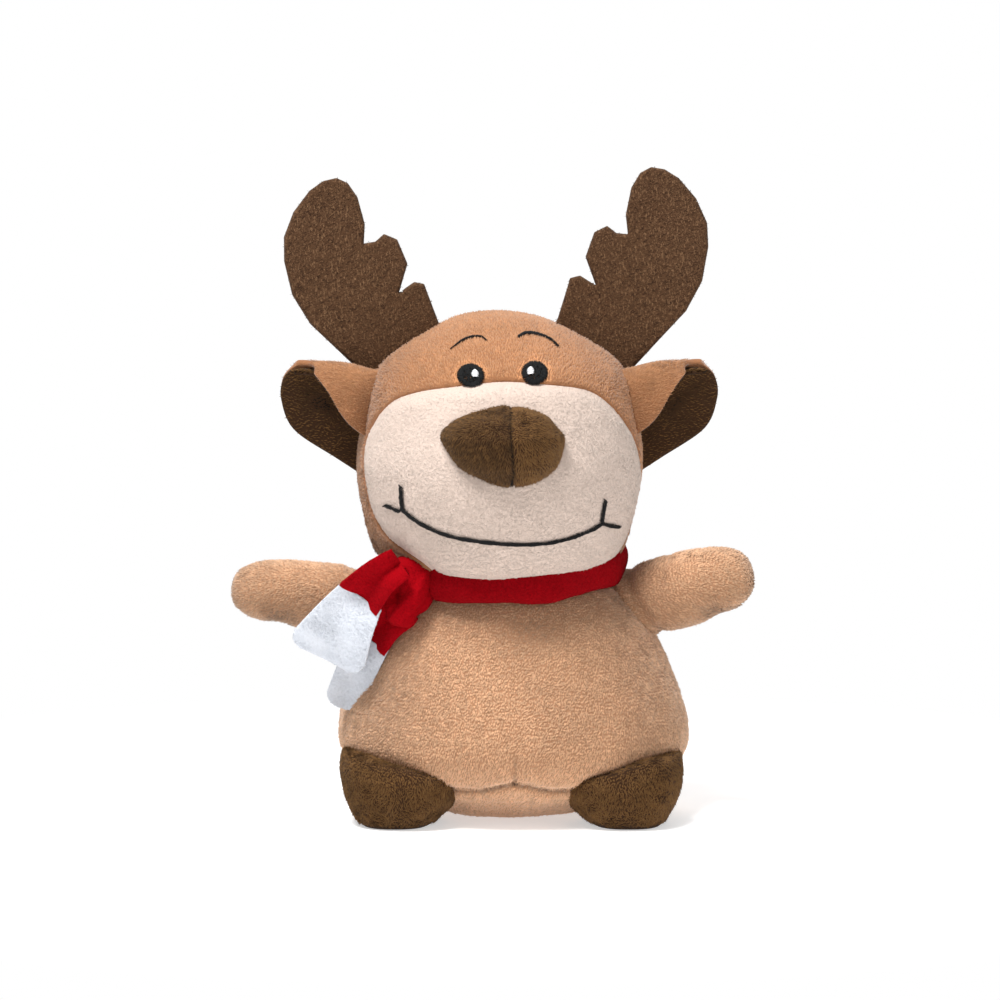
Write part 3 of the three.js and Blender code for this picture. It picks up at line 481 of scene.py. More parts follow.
@dataclass(frozen=True)
class Pile:
    """The pile of a plush or a fuzz: tufts in rows, each a small four-faced lock that lies along the nap.

    Attributes:
        pitch: Distance between rows, in millimetres like every length here.
        spacing: Distance between tufts in a row.
        length: Length of a tuft.
        width: Width of a tuft.
        lift: Angle between a tuft and the surface, in radians.
        jitter: How far tufts stand off their rows, in pitches.
        stray: How much the headings of neighbours differ.
        ripple: How far the rows wave.
        drift: How much whole clumps of tufts turn.
        tilt: How strongly light and shade follow the nap, in the shading normals and in the painted shade of the
            rows.
        edge: How near to the panel's seam the last tufts stand.
        fade: How far from the seam the tufts have their full size.
        seed: Seed of all these differences.
        shade: Gives a tone at points of the row frame, below zero for darker.
        within: Gives the distance inside the panel's seam there.
    """

    pitch: float = 0.8
    spacing: float = 0.36
    length: float = 1.15
    width: float = 0.7
    lift: float = 0.42
    jitter: float = 0.24
    stray: float = 0.24
    ripple: float = 0.5
    drift: float = 0.45
    tilt: float = 1.0
    edge: float = 0.12
    fade: float = 1.4
    seed: int = 1
    shade: Field | None = None
    within: Field | None = None

    def grow_on(self, weave: Weave, name: str, keep: np.ndarray, nap: Nap) -> bpy.types.Object:
        """Tufts over the kept cells of a surface.

        Args:
            weave: The surface.
            name: Name of the piece.
            keep: One truth value for each cell.
            nap: Gives the pile's heading at points with their normals.

        Returns:
            The new object.
        """
        rng = np.random.default_rng(self.seed)
        row, column = self._scatter(weave, rng)
        kept = keep[row.astype(int), column.astype(int)]
        points, normals = weave.read(row[kept], column[kept])
        size = np.ones(len(points))
        if self.within:
            inside = self.within(points)
            chosen = inside > self.edge
            points, normals = points[chosen], normals[chosen]
            size = np.clip(inside[chosen] / self.fade, 0.3, 1)
        return self.tufts(name, points, normals, nap(points, normals), size, rng)

    def _scatter(self, weave: Weave, rng: np.random.Generator) -> tuple[np.ndarray, np.ndarray]:
        """Places in wavy rows over a whole surface, evenly spaced on average.

        Args:
            weave: The surface.
            rng: Source of their unevenness.

        Returns:
            Row and column positions, with fractions.
        """
        up = np.linalg.norm(np.diff(weave.points, axis=0), axis=-1).mean(1)
        reach = np.concatenate([[0], np.cumsum(up)])
        beside = np.roll(weave.points, -1, 1) if weave.wraps else weave.points[:, 1:]
        base = weave.points if weave.wraps else weave.points[:, :-1]
        around = np.linalg.norm(beside - base, axis=-1).sum(1)
        levels = np.arange(self.pitch / 2, reach[-1], self.pitch)
        rows = np.interp(levels, reach, np.arange(len(reach)))
        counts = np.maximum(np.interp(rows, np.arange(len(around)), around) / self.spacing, 1).astype(int)
        row = np.repeat(rows, counts)
        slot = np.arange(counts.sum()) - np.repeat(np.cumsum(counts) - counts, counts)
        share = (slot + rng.uniform(0, 1, len(row))) / np.repeat(counts, counts)
        shaken = rng.normal(0, self.jitter, len(row)) * self.pitch / np.interp(row, np.arange(len(up)), up)
        row = np.clip(row + shaken, 0, weave.rows - 1e-4)
        column = np.minimum(share * weave.columns % weave.columns, weave.columns - 1e-4)
        near = weave.points[row.astype(int), column.astype(int) % weave.points.shape[1]]
        wave = waves(near, 7, self.seed + 5) * self.ripple / np.interp(row, np.arange(len(up)), up)
        return np.clip(row + wave, 0, weave.rows - 1e-4), column

    def tufts(self, name: str, points: Points, normals: Points, heading: Points, size: np.ndarray,
              rng: np.random.Generator) -> bpy.types.Object:
        """Small closed locks of fibre at given places.

        Args:
            name: Name of the piece.
            points: Where the tufts stand, in millimetres.
            normals: The surface's normals there.
            heading: Where the tufts point along the surface.
            size: Share of the full length for each tuft.
            rng: Source of their differences.

        Returns:
            The new object.
        """
        n = len(points)
        clumps = np.stack([waves(points, 6, self.seed + k) for k in (1, 2, 3)], -1)
        heading = heading + clumps * self.drift + rng.normal(0, self.stray, (n, 3))
        heading = unit(heading - normals * (heading * normals).sum(-1, keepdims=True))
        side = np.cross(normals, heading)
        lifted = 0.4 * self.tilt * waves(points, 3, self.seed + 4)[:, None]
        lift = self.lift * (rng.uniform(0.6, 1.4, (n, 1)) + lifted)
        length = self.length * rng.uniform(0.7, 1.2, (n, 1)) * size[:, None]
        half = self.width / 2 * rng.uniform(0.7, 1.2, (n, 1)) * (0.3 + 0.7 * size[:, None])
        root = points - heading * length * 0.35
        low = root - normals * 0.25
        tip = root + heading * length * np.cos(lift) + normals * length * np.sin(lift)
        ridge = root + heading * length * 0.2 + normals * half * 0.8
        corners = np.stack([low + side * half, low - side * half, ridge, tip], 1).reshape(-1, 3)
        first = np.arange(n)[:, None, None] * 4
        faces = (first + np.array([[0, 2, 3], [1, 3, 2], [0, 1, 2], [0, 3, 1]])).reshape(-1, 3)
        obj = mesh_object(name, corners, faces, weld=False)
        lean = heading * self.tilt
        soft = unit(np.stack([normals + side * 0.4 - lean * 0.4, normals - side * 0.4 - lean * 0.4,
                              normals - lean * 0.35, normals + lean * 0.75], 1))
        obj.data.normals_split_custom_set_from_vertices(soft.reshape(-1, 3))
        # painted shade in wavy rows across the nap, where each row of tufts would shadow the next
        painted_row_shade = np.sin(2 * math.pi * (points[:, 2] / 1.3 + 1.6 * waves(points, 12, self.seed + 7)
                                       + 0.5 * waves(points, 3.5, self.seed + 8)))
        own = rng.uniform(0.25, 0.75, n) + self.tilt * (0.4 * waves(points, 1.9, self.seed + 6) + 0.4 * painted_row_shade)
        own = own + (self.shade(points) if self.shade else 0)
        # the share from root to tip, which the plush turns into painted shade at the root
        attribute(obj, "tip", np.tile([0.0, 0.0, 0.55, 1.0], n))
        attribute(obj, "tone", np.repeat(own, 4))
        lay_out(obj, faces, n)
        return obj


def lay_out(obj: bpy.types.Object, faces: np.ndarray, count: int) -> None:
    """Gives every tuft its own square of the baking layout.

    Args:
        obj: The pile.
        faces: Vertex numbers, four vertices to a tuft.
        count: How many tufts there are.
    """
    cells = math.ceil(math.sqrt(count))
    corner = np.array([[0.1, 0.1], [0.9, 0.1], [0.5, 0.35], [0.5, 0.9]])
    cell = np.stack([np.arange(count) % cells, np.arange(count) // cells], 1)
    place = ((cell[:, None] + corner) / cells).reshape(-1, 2)
    uv = obj.data.uv_layers.new(name="OFBake")
    uv.data.foreach_set("uv", place[faces.reshape(-1)].reshape(-1).astype(np.float32))


def mesh_object(name: str, points: Points, faces: np.ndarray, weld: bool = True) -> bpy.types.Object:
    """A mesh object in the row frame.

    Args:
        name: Name of the piece.
        points: Vertices in millimetres.
        faces: Vertex numbers, all faces with as many corners.
        weld: Whether vertices that coincide are joined, as at a pole.

    Returns:
        The new object, linked to the scene.
    """
    mesh = bpy.data.meshes.new(name)
    sides = faces.shape[1]
    mesh.vertices.add(len(points))
    mesh.vertices.foreach_set("co", (points * MM).reshape(-1).astype(np.float32))
    mesh.loops.add(faces.size)
    mesh.loops.foreach_set("vertex_index", faces.reshape(-1).astype(np.int32))
    mesh.polygons.add(len(faces))
    mesh.polygons.foreach_set("loop_start", np.arange(0, faces.size, sides, dtype=np.int32))
    mesh.update(calc_edges=True)
    if weld:
        work = bmesh.new()
        work.from_mesh(mesh)
        bmesh.ops.remove_doubles(work, verts=work.verts, dist=2e-7)
        work.to_mesh(mesh)
        work.free()
    mesh.validate()
    mesh.polygons.foreach_set("use_smooth", np.ones(len(mesh.polygons), bool))
    obj = bpy.data.objects.new(name, mesh)
    bpy.context.scene.collection.objects.link(obj)
    return obj


def attribute(obj: bpy.types.Object, name: str, values: np.ndarray) -> None:
    """Stores one number for each vertex of an object."""
    obj.data.attributes.new(name, "FLOAT", "POINT").data.foreach_set("value", values.astype(np.float32))


def toned(obj: bpy.types.Object, tone: float) -> None:
    """Gives a whole piece one tone."""
    attribute(obj, "tone", np.full(len(obj.data.vertices), tone))


def even(tone: float) -> Field:
    """A tone that is the same all over a pile."""
    return lambda points: np.full(len(points), tone)


def linear(colour: Sequence[float]) -> tuple[float, float, float, float]:
    """A display colour as scene light.

    Args:
        colour: Red, green and blue from 0 to 255.

    Returns:
        The linear colour with full alpha.
    """
    c = np.array(colour) / 255
    r, g, b = np.where(c <= 0.04045, c / 12.92, ((c + 0.055) / 1.055) ** 2.4)
    return float(r), float(g), float(b), 1.0


class Signal:
    """A socket of a shader that takes part in arithmetic."""

    def __init__(self, shader: "Shader", socket: bpy.types.NodeSocket) -> None:
        """Wraps an output socket of a shader."""
        self.shader, self.socket = shader, socket

    def maths(self, operation: str, first: object, second: object) -> "Signal":
        """A maths node on two signals or numbers."""
        return self.shader.out("ShaderNodeMath", {"operation": operation}, {0: first, 1: second})

    def __add__(self, other: object) -> "Signal":
        """Sum."""
        return self.maths("ADD", self, other)

    __radd__ = __add__

    def __mul__(self, other: object) -> "Signal":
        """Product."""
        return self.maths("MULTIPLY", self, other)

    __rmul__ = __mul__

    def __sub__(self, other: object) -> "Signal":
        """Difference."""
        return self.maths("SUBTRACT", self, other)

    def __rsub__(self, other: object) -> "Signal":
        """Difference from another value."""
        return self.maths("SUBTRACT", other, self)

    def __pow__(self, other: object) -> "Signal":
        """Power."""
        return self.maths("POWER", self, other)

    def above(self, low: float, high: float) -> "Signal":
        """A step from 0 at low to 1 at high."""
        return self.shader.out("ShaderNodeMapRange", {"clamp": True}, {0: self, 1: low, 2: high})


class Shader:
    """A material's node tree, with one method that adds any node."""

    def __init__(self, name: str) -> None:
        """Makes the material with a Principled shader.

        Args:
            name: Name of the material.
        """
        self.material = bpy.data.materials.new(name)
        self.material.use_nodes = True
        self.tree = self.material.node_tree
        self.surface = self.tree.nodes["Principled BSDF"]

    def node(self, kind: str, settings: dict, values: dict) -> bpy.types.Node:
        """Adds a node.

        Args:
            kind: Its type.
            settings: Its own settings by name.
            values: Signals or values for its input sockets, by name or number.

        Returns:
            The node.
        """
        made = self.tree.nodes.new(kind)
        for key, value in settings.items():
            setattr(made, key, value)
        self.wire(made, values)
        return made

    def wire(self, node: bpy.types.Node, values: dict) -> None:
        """Connects a node's inputs to signals, or sets them to values.

        Args:
            node: The node.
            values: Signals or values for its inputs, by name or number.
        """
        for key, value in values.items():
            if isinstance(value, Signal):
                self.tree.links.new(value.socket, node.inputs[key])
            else:
                node.inputs[key].default_value = value

    def out(self, kind: str, settings: dict, values: dict, socket: int | str = 0) -> Signal:
        """Adds a node, as above, and gives one of its outputs."""
        return Signal(self, self.node(kind, settings, values).outputs[socket])

    def place(self) -> Signal:
        """The point in the toy's own frame, in metres."""
        return self.out("ShaderNodeTexCoord", {}, {}, "Object")

    def noise(self, scale: float, detail: float, where: Signal | None = None) -> Signal:
        """Noise between 0 and 1 over the toy's frame, or over another place, in cells for each metre."""
        values = {"Vector": where or self.place(), "Scale": scale, "Detail": detail}
        return self.out("ShaderNodeTexNoise", {}, values)

    def stretched(self, scale: Sequence[float], turn: Sequence[float]) -> Signal:
        """The toy's frame turned by angles in radians, then stretched, for marks that run one way."""
        turned = self.out("ShaderNodeMapping", {}, {"Vector": self.place(), "Rotation": turn})
        return self.out("ShaderNodeMapping", {}, {"Vector": turned, "Scale": scale})

    def mixed(self, share: Signal | float, first: object, second: object) -> Signal:
        """Two colours mixed, by the share of the second."""
        return self.out("ShaderNodeMix", {"data_type": "RGBA"}, {0: share, 6: first, 7: second}, 2)

    def scaled(self, colour: object, factor: Signal | float) -> Signal:
        """A colour made lighter or darker by a factor."""
        vector = colour if isinstance(colour, Signal) else colour[:3]
        return self.out("ShaderNodeVectorMath", {"operation": "SCALE"}, {0: vector, "Scale": factor})

    def reading(self, name: str) -> Signal:
        """A number stored for each vertex of the piece."""
        return self.out("ShaderNodeAttribute", {"attribute_name": name}, {}, "Fac")

    def finish(self, values: dict, height: Signal | None = None, depth: float = 0.0) -> bpy.types.Material:
        """Connects the surface and gives the material.

        Args:
            values: Inputs of the Principled shader.
            height: A height for a bump, from 0 to 1.
            depth: What a height of 1 stands for, in metres.

        Returns:
            The material.
        """
        self.wire(self.surface, values)
        if height:
            bump = self.out("ShaderNodeBump", {}, {"Height": height, "Distance": depth, "Strength": 1.0})
            self.wire(self.surface, {"Normal": bump})
        return self.material


@dataclass(frozen=True)
class Plush:
    """Short pile cloth: painted shade at the root and on the bare cloth, lighter tips, faint clouds where the nap was
    brushed.
    """

    name: str
    root: tuple[float, float, float]
    tip: tuple[float, float, float]
    contrast: float = 0.25
    cloud: float = 0.12
    sheen: float = 0.25

    def material(self) -> bpy.types.Material:
        """Builds the material.

        Returns:
            The material.
        """
        s = Shader(self.name)
        tip, tone = s.reading("tip"), s.reading("tone")
        cloud, fine = s.noise(55, 3) - 0.5, s.noise(900, 2) - 0.5
        colour = s.mixed(tip, linear(self.root), linear(self.tip))
        shade = (tone - 0.5) * self.contrast + cloud * (self.cloud * 2) + fine * 0.1 + 1
        return s.finish({"Base Color": s.scaled(colour, shade), "Roughness": 0.9, "Sheen Weight": self.sheen,
                         "Sheen Roughness": 0.6, "Specular IOR Level": 0.2}, s.noise(1500, 2), 0.0003)


@dataclass(frozen=True)
class Felt:
    """Pressed felt: a heathered ground of dark and light fibres that run every way."""

    name: str
    ground: tuple[float, float, float]
    dark: tuple[float, float, float]
    light: tuple[float, float, float]

    def material(self) -> bpy.types.Material:
        """Builds the material.

        Returns:
            The material.
        """
        s = Shader(self.name)
        tone = s.reading("tone")
        fibres = [s.noise(900, 3, s.stretched((1, 1, 3), (0, turn, 0))) for turn in (0.5, 1.7, 2.6)]
        speck = s.noise(2200, 2)
        colour = s.mixed(fibres[0].above(0.5, 0.68), linear(self.ground), linear(self.dark))
        colour = s.mixed(fibres[1].above(0.55, 0.7) * 0.8, colour, linear(self.light))
        colour = s.mixed(fibres[2].above(0.58, 0.7) * 0.6, colour, linear(self.dark))
        colour = s.mixed(speck.above(0.56, 0.7) * 0.6, colour, linear(self.light))
        colour = s.mixed(tone * 0.6, colour, linear(self.light))
        return s.finish({"Base Color": colour, "Roughness": 0.95, "Sheen Weight": 0.05, "Specular IOR Level": 0.1},
                        speck * 0.6 + fibres[0] * 0.4, 0.0005)


@dataclass(frozen=True)
class Fleece:
    """Brushed fleece: soft, nearly matt, with a faint mottle of its short nap."""

    name: str
    colour: tuple[float, float, float]
    hollow: tuple[float, float, float]
    sheen: float = 0.1

    def material(self) -> bpy.types.Material:
        """Builds the material.

        Returns:
            The material.
        """
        s = Shader(self.name)
        tone = s.reading("tone")
        mottle = s.noise(260, 4)
        fuzz = s.noise(1400, 2)
        colour = s.mixed(mottle.above(0.35, 0.65) * 0.4 + 0.6, linear(self.hollow), linear(self.colour))
        colour = s.scaled(colour, (fuzz - 0.5) * 0.25 + tone * 0.12 + 0.98)
        return s.finish({"Base Color": colour, "Roughness": 0.95, "Sheen Weight": self.sheen,
                         "Specular IOR Level": 0.08}, mottle * 0.5 + fuzz * 0.5, 0.0006)


@dataclass(frozen=True)
class Thread:
    """Embroidery thread: slightly glossy, with the fine ply of each strand."""

    name: str
    colour: tuple[float, float, float]
    roughness: float = 0.42

    def material(self) -> bpy.types.Material:
        """Builds the material.

        Returns:
            The material.
        """
        s = Shader(self.name)
        tone = s.reading("tone")
        ply = s.noise(3000, 2)
        colour = s.scaled(linear(self.colour), (ply - 0.5) * 0.5 + tone * 0.5 + 0.75)
        return s.finish({"Base Color": colour, "Roughness": self.roughness, "Specular IOR Level": 0.3}, ply, 0.0001)


@dataclass(frozen=True)
class Fibre:
    """Loose polyester filling: white, tangled and matt."""

    name: str = "polyester_fibre"

    def material(self) -> bpy.types.Material:
        """Builds the material.

        Returns:
            The material.
        """
        s = Shader(self.name)
        tangle = s.noise(420, 5, s.stretched((1, 2.4, 1), (0.4, 0.7, 0.2)))
        colour = s.mixed(tangle, linear((205, 205, 202)), linear((250, 250, 248)))
        return s.finish({"Base Color": colour, "Roughness": 0.95, "Sheen Weight": 0.3}, tangle, 0.0012)


class Finish(Enum):
    """The toy's finishes, each named as its material slot."""

    TAN_PLUSH = Plush("tan_plush", (190, 140, 103), (228, 183, 145), 0.24)
    CROWN_PLUSH = Plush("crown_plush", (157, 104, 65), (185, 133, 91), 0.22)
    CREAM_PLUSH = Plush("cream_plush", (211, 191, 178), (222, 205, 193), 0.05, 0.05, 0.1)
    BROWN_PLUSH = Plush("brown_plush", (60, 36, 14), (130, 94, 54), 0.34, 0.22, 0.03)
    BROWN_FELT = Felt("brown_felt", (78, 54, 36), (50, 32, 20), (122, 92, 66))
    RED_FLEECE = Fleece("red_fleece", (156, 0, 13), (138, 0, 10), 0.0)
    PALE_FLEECE = Fleece("pale_fleece", (222, 226, 234), (208, 213, 222), 0.1)
    BLACK_THREAD = Thread("black_thread", (7, 7, 8), 0.8)
    WHITE_THREAD = Thread("white_thread", (248, 248, 250), 0.35)
    FIBRE_FILL = Fibre()


MATERIALS: dict[Finish, bpy.types.Material] = {}


def dress(obj: bpy.types.Object, slot: Finish, nodes: Sequence[str] = (),
          finish: Finish | None = None) -> bpy.types.Object:
    """Gives a piece its finish and hides the frame nodes that it stands for.

    Args:
        obj: The piece.
        slot: The finish that the piece takes where no other is given.
        nodes: The frame nodes that it replaces.
        finish: The finish, where it isn't the slot's own.

    Returns:
        The same piece.
    """
    finish = finish or slot
    if finish not in MATERIALS:
        MATERIALS[finish] = finish.value.material()
    obj.data.materials.append(MATERIALS[finish])
    if nodes:
        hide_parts(*nodes)
    LOG.info("%s: %d faces", obj.name, len(obj.data.polygons))
    return obj


def bend(pieces: Sequence[bpy.types.Object], start: Points, end: Points) -> None:
    """Sets each piece's placing into its mesh; the pieces are not made to bend.

    Args:
        pieces: The pieces.
        start: Not used.
        end: Not used.
    """
    for piece in pieces:
        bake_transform(piece)


def sew(weave: Weave, name: str, node: str, slot: Finish, body: str, keep: np.ndarray, pile: Pile,
        nap: Nap, shown: np.ndarray | None = None) -> None:
    """Builds a padded panel of plush that rides one body, with its pile.

    Args:
        weave: The surface that the panel is cut from.
        name: Start of the two pieces' names.
        node: The frame node that the panel stands for.
        slot: Material slot.
        body: The body that both ride.
        keep: The cells of the panel.
        pile: Its pile.
        nap: Gives the pile's heading.
        shown: The cells that carry pile, where they aren't the panel's own.
    """
    cloth = dress(weave.shell(f"{name}_cloth", keep, PLUSH), slot, [node])
    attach(cloth, body)
    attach(dress(pile.grow_on(weave, f"{name}_pile", keep if shown is None else shown, nap), slot), body)


def stuffing(name: str, form: StuffedForm, rows: int, columns: int, place: np.ndarray = BODY_PLACE,
             relief: Field | None = None) -> bpy.types.Object:
    """The filling of a cover.

    Args:
        name: Start of the names of the piece and of its frame node.
        form: The cover's form, drawn in.
        rows: Cells up the form.
        columns: Cells round it.
        place: Its placing.
        relief: Its unevenness.

    Returns:
        The dressed filling.
    """
    weave = Weave(form.locate, rows, columns, relief=relief, place=place)
    return dress(weave.shell(f"{name}_stuffing", weave.every, 0), Finish.FIBRE_FILL, [f"{name}_filling"])


def loose(p: Points, n: Points) -> Points:
    """No nap: the tufts point every way."""
    return 0 * p


def brushed(spread: Sequence[float], way: Sequence[float]) -> Nap:
    """A nap that is brushed one way all over.

    Args:
        spread: Shares of the surface's normal that are added to it.
        way: The way that it is brushed.

    Returns:
        The nap's heading as a function of points and normals.
    """
    return lambda p, n: n * np.array(spread) + np.array(way)


def falling(p: Points, n: Points) -> Points:
    """A nap that is brushed down, a little outwards and, on the right, aslant."""
    aslant = 0.7 * smooth(p[..., 0], -12, 18)[..., None] * np.array([-1.0, 0, 0])
    return np.array([0, 0, -1.0]) + n * np.array([0.3, 0, 0]) + aslant


def over_crown(p: Points, n: Points) -> Points:
    """A nap that runs up the forehead, back over the crown and down behind: each normal crossed with the X axis."""
    return np.cross(n, [1.0, 0, 0]) + n[..., :1] ** 2 * [0, 0, -0.7]


TORSO_OUTLINE = [(0, 0), (0.22, 0.006), (0.44, 0.04), (0.64, 0.09), (0.8, 0.145), (0.915, 0.21), (0.982, 0.28),
                 (1, 0.345), (0.98, 0.46), (0.93, 0.58), (0.855, 0.72), (0.76, 0.845), (0.64, 0.945), (0.5, 1),
                 (0.25, 1.02), (0, 1.024)]
HEAD_OUTLINE = [(0, 0), (0.42, 0.002), (0.72, 0.03), (0.87, 0.095), (0.95, 0.235), (1, 0.415),
                (0.982, 0.54), (0.906, 0.74), (0.749, 0.85), (0.41, 0.957), (0.2, 0.99), (0, 1)]
NOSE_OUTLINE = [(0, 0), (0.25, 0.01), (0.48, 0.07), (0.77, 0.24), (0.87, 0.34), (1, 0.6), (0.93, 0.71), (0.74, 0.84),
                (0.47, 0.93), (0.22, 0.985), (0, 1)]
ARM_OUTLINE = [(0, -0.12), (0.6, -0.115), (0.85, -0.06), (0.97, 0.1), (1, 0.35), (0.97, 0.6), (0.85, 0.81),
               (0.63, 0.93), (0.35, 0.985), (0, 1)]
FOOT_OUTLINE = [(0, 0), (0.44, 0.006), (0.61, 0.1), (0.75, 0.27), (0.88, 0.46), (0.97, 0.67), (1, 0.84),
                (0.95, 0.98), (0.6, 1.03), (0, 1.04)]
CROSSING_OUTLINE = [(0, 0), (0.6, 0.02), (0.95, 0.25), (1, 0.55), (0.8, 0.85), (0.45, 0.98), (0, 1)]


def torso_form(grow: float = 0.0) -> StuffedForm:
    """The pear of the torso.

    Args:
        grow: How far the skin is moved outwards.

    Returns:
        The form.
    """

    def lean(p: Points) -> Points:
        """Leans the torso to one side and sets its underside flat on the ground.

        Args:
            p: Points of the upright form.

        Returns:
            The same points where they lie.
        """
        rise = np.clip(p[..., 2] / TORSO_HEIGHT, 0, 1)
        z = np.maximum(p[..., 2] - GROUND_FLAT, 0.02 - min(grow, 0))
        return np.stack([p[..., 0] + TORSO_MIDDLE_X - TORSO_LEAN * rise**2, p[..., 1], z], -1)

    return StuffedForm(TORSO_OUTLINE, TORSO_HALF_WIDTH, TORSO_HEIGHT, TORSO_FRONT, TORSO_BACK, grow, shift=lean)


def outside_torso(points: Points) -> np.ndarray:
    """How far points of the body's frame lie outside the torso.

    Args:
        points: The points.

    Returns:
        One distance for each point, below zero inside.
    """
    rise = np.clip((points[..., 2] + GROUND_FLAT) / TORSO_HEIGHT, 0, 1)
    middle = np.stack([TORSO_MIDDLE_X - TORSO_LEAN * rise**2, 0 * rise, 0 * rise - GROUND_FLAT], -1)
    return torso_form().outside(points - middle)


@dataclass
class Torso:
    """The pear-shaped body in a front, a back and a base panel, round its filling."""

    base_seam: float = 12.8
    seam_fall: float = 2.4
    underside: float = 1.2
    rows: int = 120
    columns: int = 264
    fullness: float = 0.85

    def above_seam(self, p: Points) -> np.ndarray:
        """Height over the base seam, which rises in a shallow arc between the feet."""
        aside = smooth(np.abs(p[..., 0] - TORSO_MIDDLE_X), 0, 11) * smooth(-p[..., 1], 4, 14)
        return p[..., 2] - self.base_seam + self.seam_fall * aside

    def hollows(self, p: Points) -> np.ndarray:
        """Soft dents under the scarf and beside its tails, where shadow is also painted, as shares from 0 to 1.

        Args:
            p: Points in the body's frame.

        Returns:
            One share for each point.
        """
        x, y, z = axes(p)
        front = smooth(-y, 2, 12)
        under = bell((x - 10) / 8, (z - 53) / 6)
        beside = bell((x + 30) / 11, (z - 38) / 20)
        return front * (0.8 * under + beside)

    def relief(self, p: Points) -> np.ndarray:
        """Seam grooves, the dart above the base and the stuffing's unevenness.

        Args:
            p: Points in the body's frame.

        Returns:
            How far each point is raised.
        """
        x, y, z = axes(p)
        front = smooth(-y, 4, 14)
        middle = x - TORSO_MIDDLE_X - waves(p, 30, 5) * 0.3
        groove = dip(y, 0.9, 2.2) * smooth(z, 10, 16)
        groove = groove + dip(self.above_seam(p), 1.3, 1.9) - self.hollows(p)
        dart = dip(middle, 0.8, 1.7) * front * smooth(-z, -25, -17)
        groove = groove + dart * smooth(z, 12, 13.5)
        puckers = waves(p * [1.6, 1.6, 0.5], 4, 13) * 0.3 * np.exp(-np.abs(z - self.base_seam) / 2.5)
        return groove + puckers + waves(p, 26, 11) * 0.45 + waves(p, 9, 12) * 0.12

    def shade(self, world: Points) -> np.ndarray:
        """Painted shade in the base seam, the dart, the dents and under the scarf, painted shade on the right side
        and painted light low down.

        Args:
            world: Points in the row frame.

        Returns:
            A tone for each point, below zero for darker.
        """
        p = world - SHIFT
        x, y, z = axes(p)
        # painted shade in the base seam and in the dart
        low = bell(self.above_seam(p) / 0.7)
        dart = bell((x - TORSO_MIDDLE_X) / 0.6) * smooth(-y, 4, 14)
        dart = dart * smooth(-z, -24, -18) * smooth(z, 12, 13)
        # painted shadow under the scarf and the chin
        top = smooth(z, 48, 60) * smooth(-y, 2, 12)
        # painted light from the ground low down, and painted shade on the right side
        sides = 0.3 * smooth(-z, -30, -14) - 0.4 * smooth(x, 26, 42)
        # painted shadow in the dents under the scarf and beside its tails
        return sides - 2.4 * low - 1.4 * dart - 1.1 * self.hollows(p) - 0.7 * top

    def build(self) -> None:
        """Builds and places the torso's pieces."""
        seams = (lambda p: p[..., 1], self.above_seam)
        weave = Weave(torso_form().locate, self.rows, self.columns, seams=seams, relief=self.relief)
        middle = weave.middles()
        base = self.above_seam(middle) < 0
        front = ~base & (middle[..., 1] < 0)
        pile = Pile(seed=21, shade=self.shade)
        for name, keep in (("torso_front", front), ("torso_back", ~base & ~front), ("base", base)):
            sew(weave, name, f"{name}_panel", Finish.TAN_PLUSH, "torso", keep, pile, falling,
                keep & (middle[..., 2] > self.underside))
        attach(stuffing("torso", torso_form(DRAWN_IN), 40, 70, relief=lambda p: waves(p, 12, 3) * 0.25), "torso")


def muzzle_swell(x: np.ndarray, z: np.ndarray) -> np.ndarray:
    """How far the muzzle swells forward: a flat-topped bell round its middle."""
    wide, high = MUZZLE_REACH
    return MUZZLE_SWELL * np.exp(-(((x / wide) ** 2 + ((z - MUZZLE_LEVEL) / high) ** 2) ** 1.3))


def head_form(grow: float = 0.0) -> StuffedForm:
    """The egg of the head, with the muzzle swelling from it.

    Args:
        grow: How far the skin is moved outwards.

    Returns:
        The form.
    """

    def swell(p: Points) -> Points:
        """Swells the muzzle forward, fully where the head faces the front.

        Args:
            p: Points of the plain egg.

        Returns:
            The same points where they lie.
        """
        facing = np.clip(-p[..., 1] / (HEAD_FRONT * FACE_SHARE), 0, 1)
        y = p[..., 1] - muzzle_swell(p[..., 0], p[..., 2]) * facing
        return np.stack([p[..., 0], y, p[..., 2] - GROUND_FLAT], -1)

    return StuffedForm(HEAD_OUTLINE, HEAD_HALF_WIDTH, HEAD_HEIGHT, HEAD_FRONT, HEAD_BACK, grow, shift=swell)


MUZZLE_SEAM = Curve([
    (0, -4), (-14, -0.5), (-22, 5.4), (-28.6, 8.8), (-37, 12.6), (-42.2, 17.2), (-45.2, 23.9), (-47.2, 34.0),
    (-44.2, 40.7), (-34.9, 47.9), (-24.5, 51.4), (-12.0, 53.4), (-0.1, 54.7), (11.8, 53.8), (24.7, 51.8),
    (33.8, 47.4), (41.4, 41.6), (47.5, 33.2), (52.3, 26.2), (50.4, 17.7), (44, 9), (30, 1.5), (16, -3), (0, -4)])


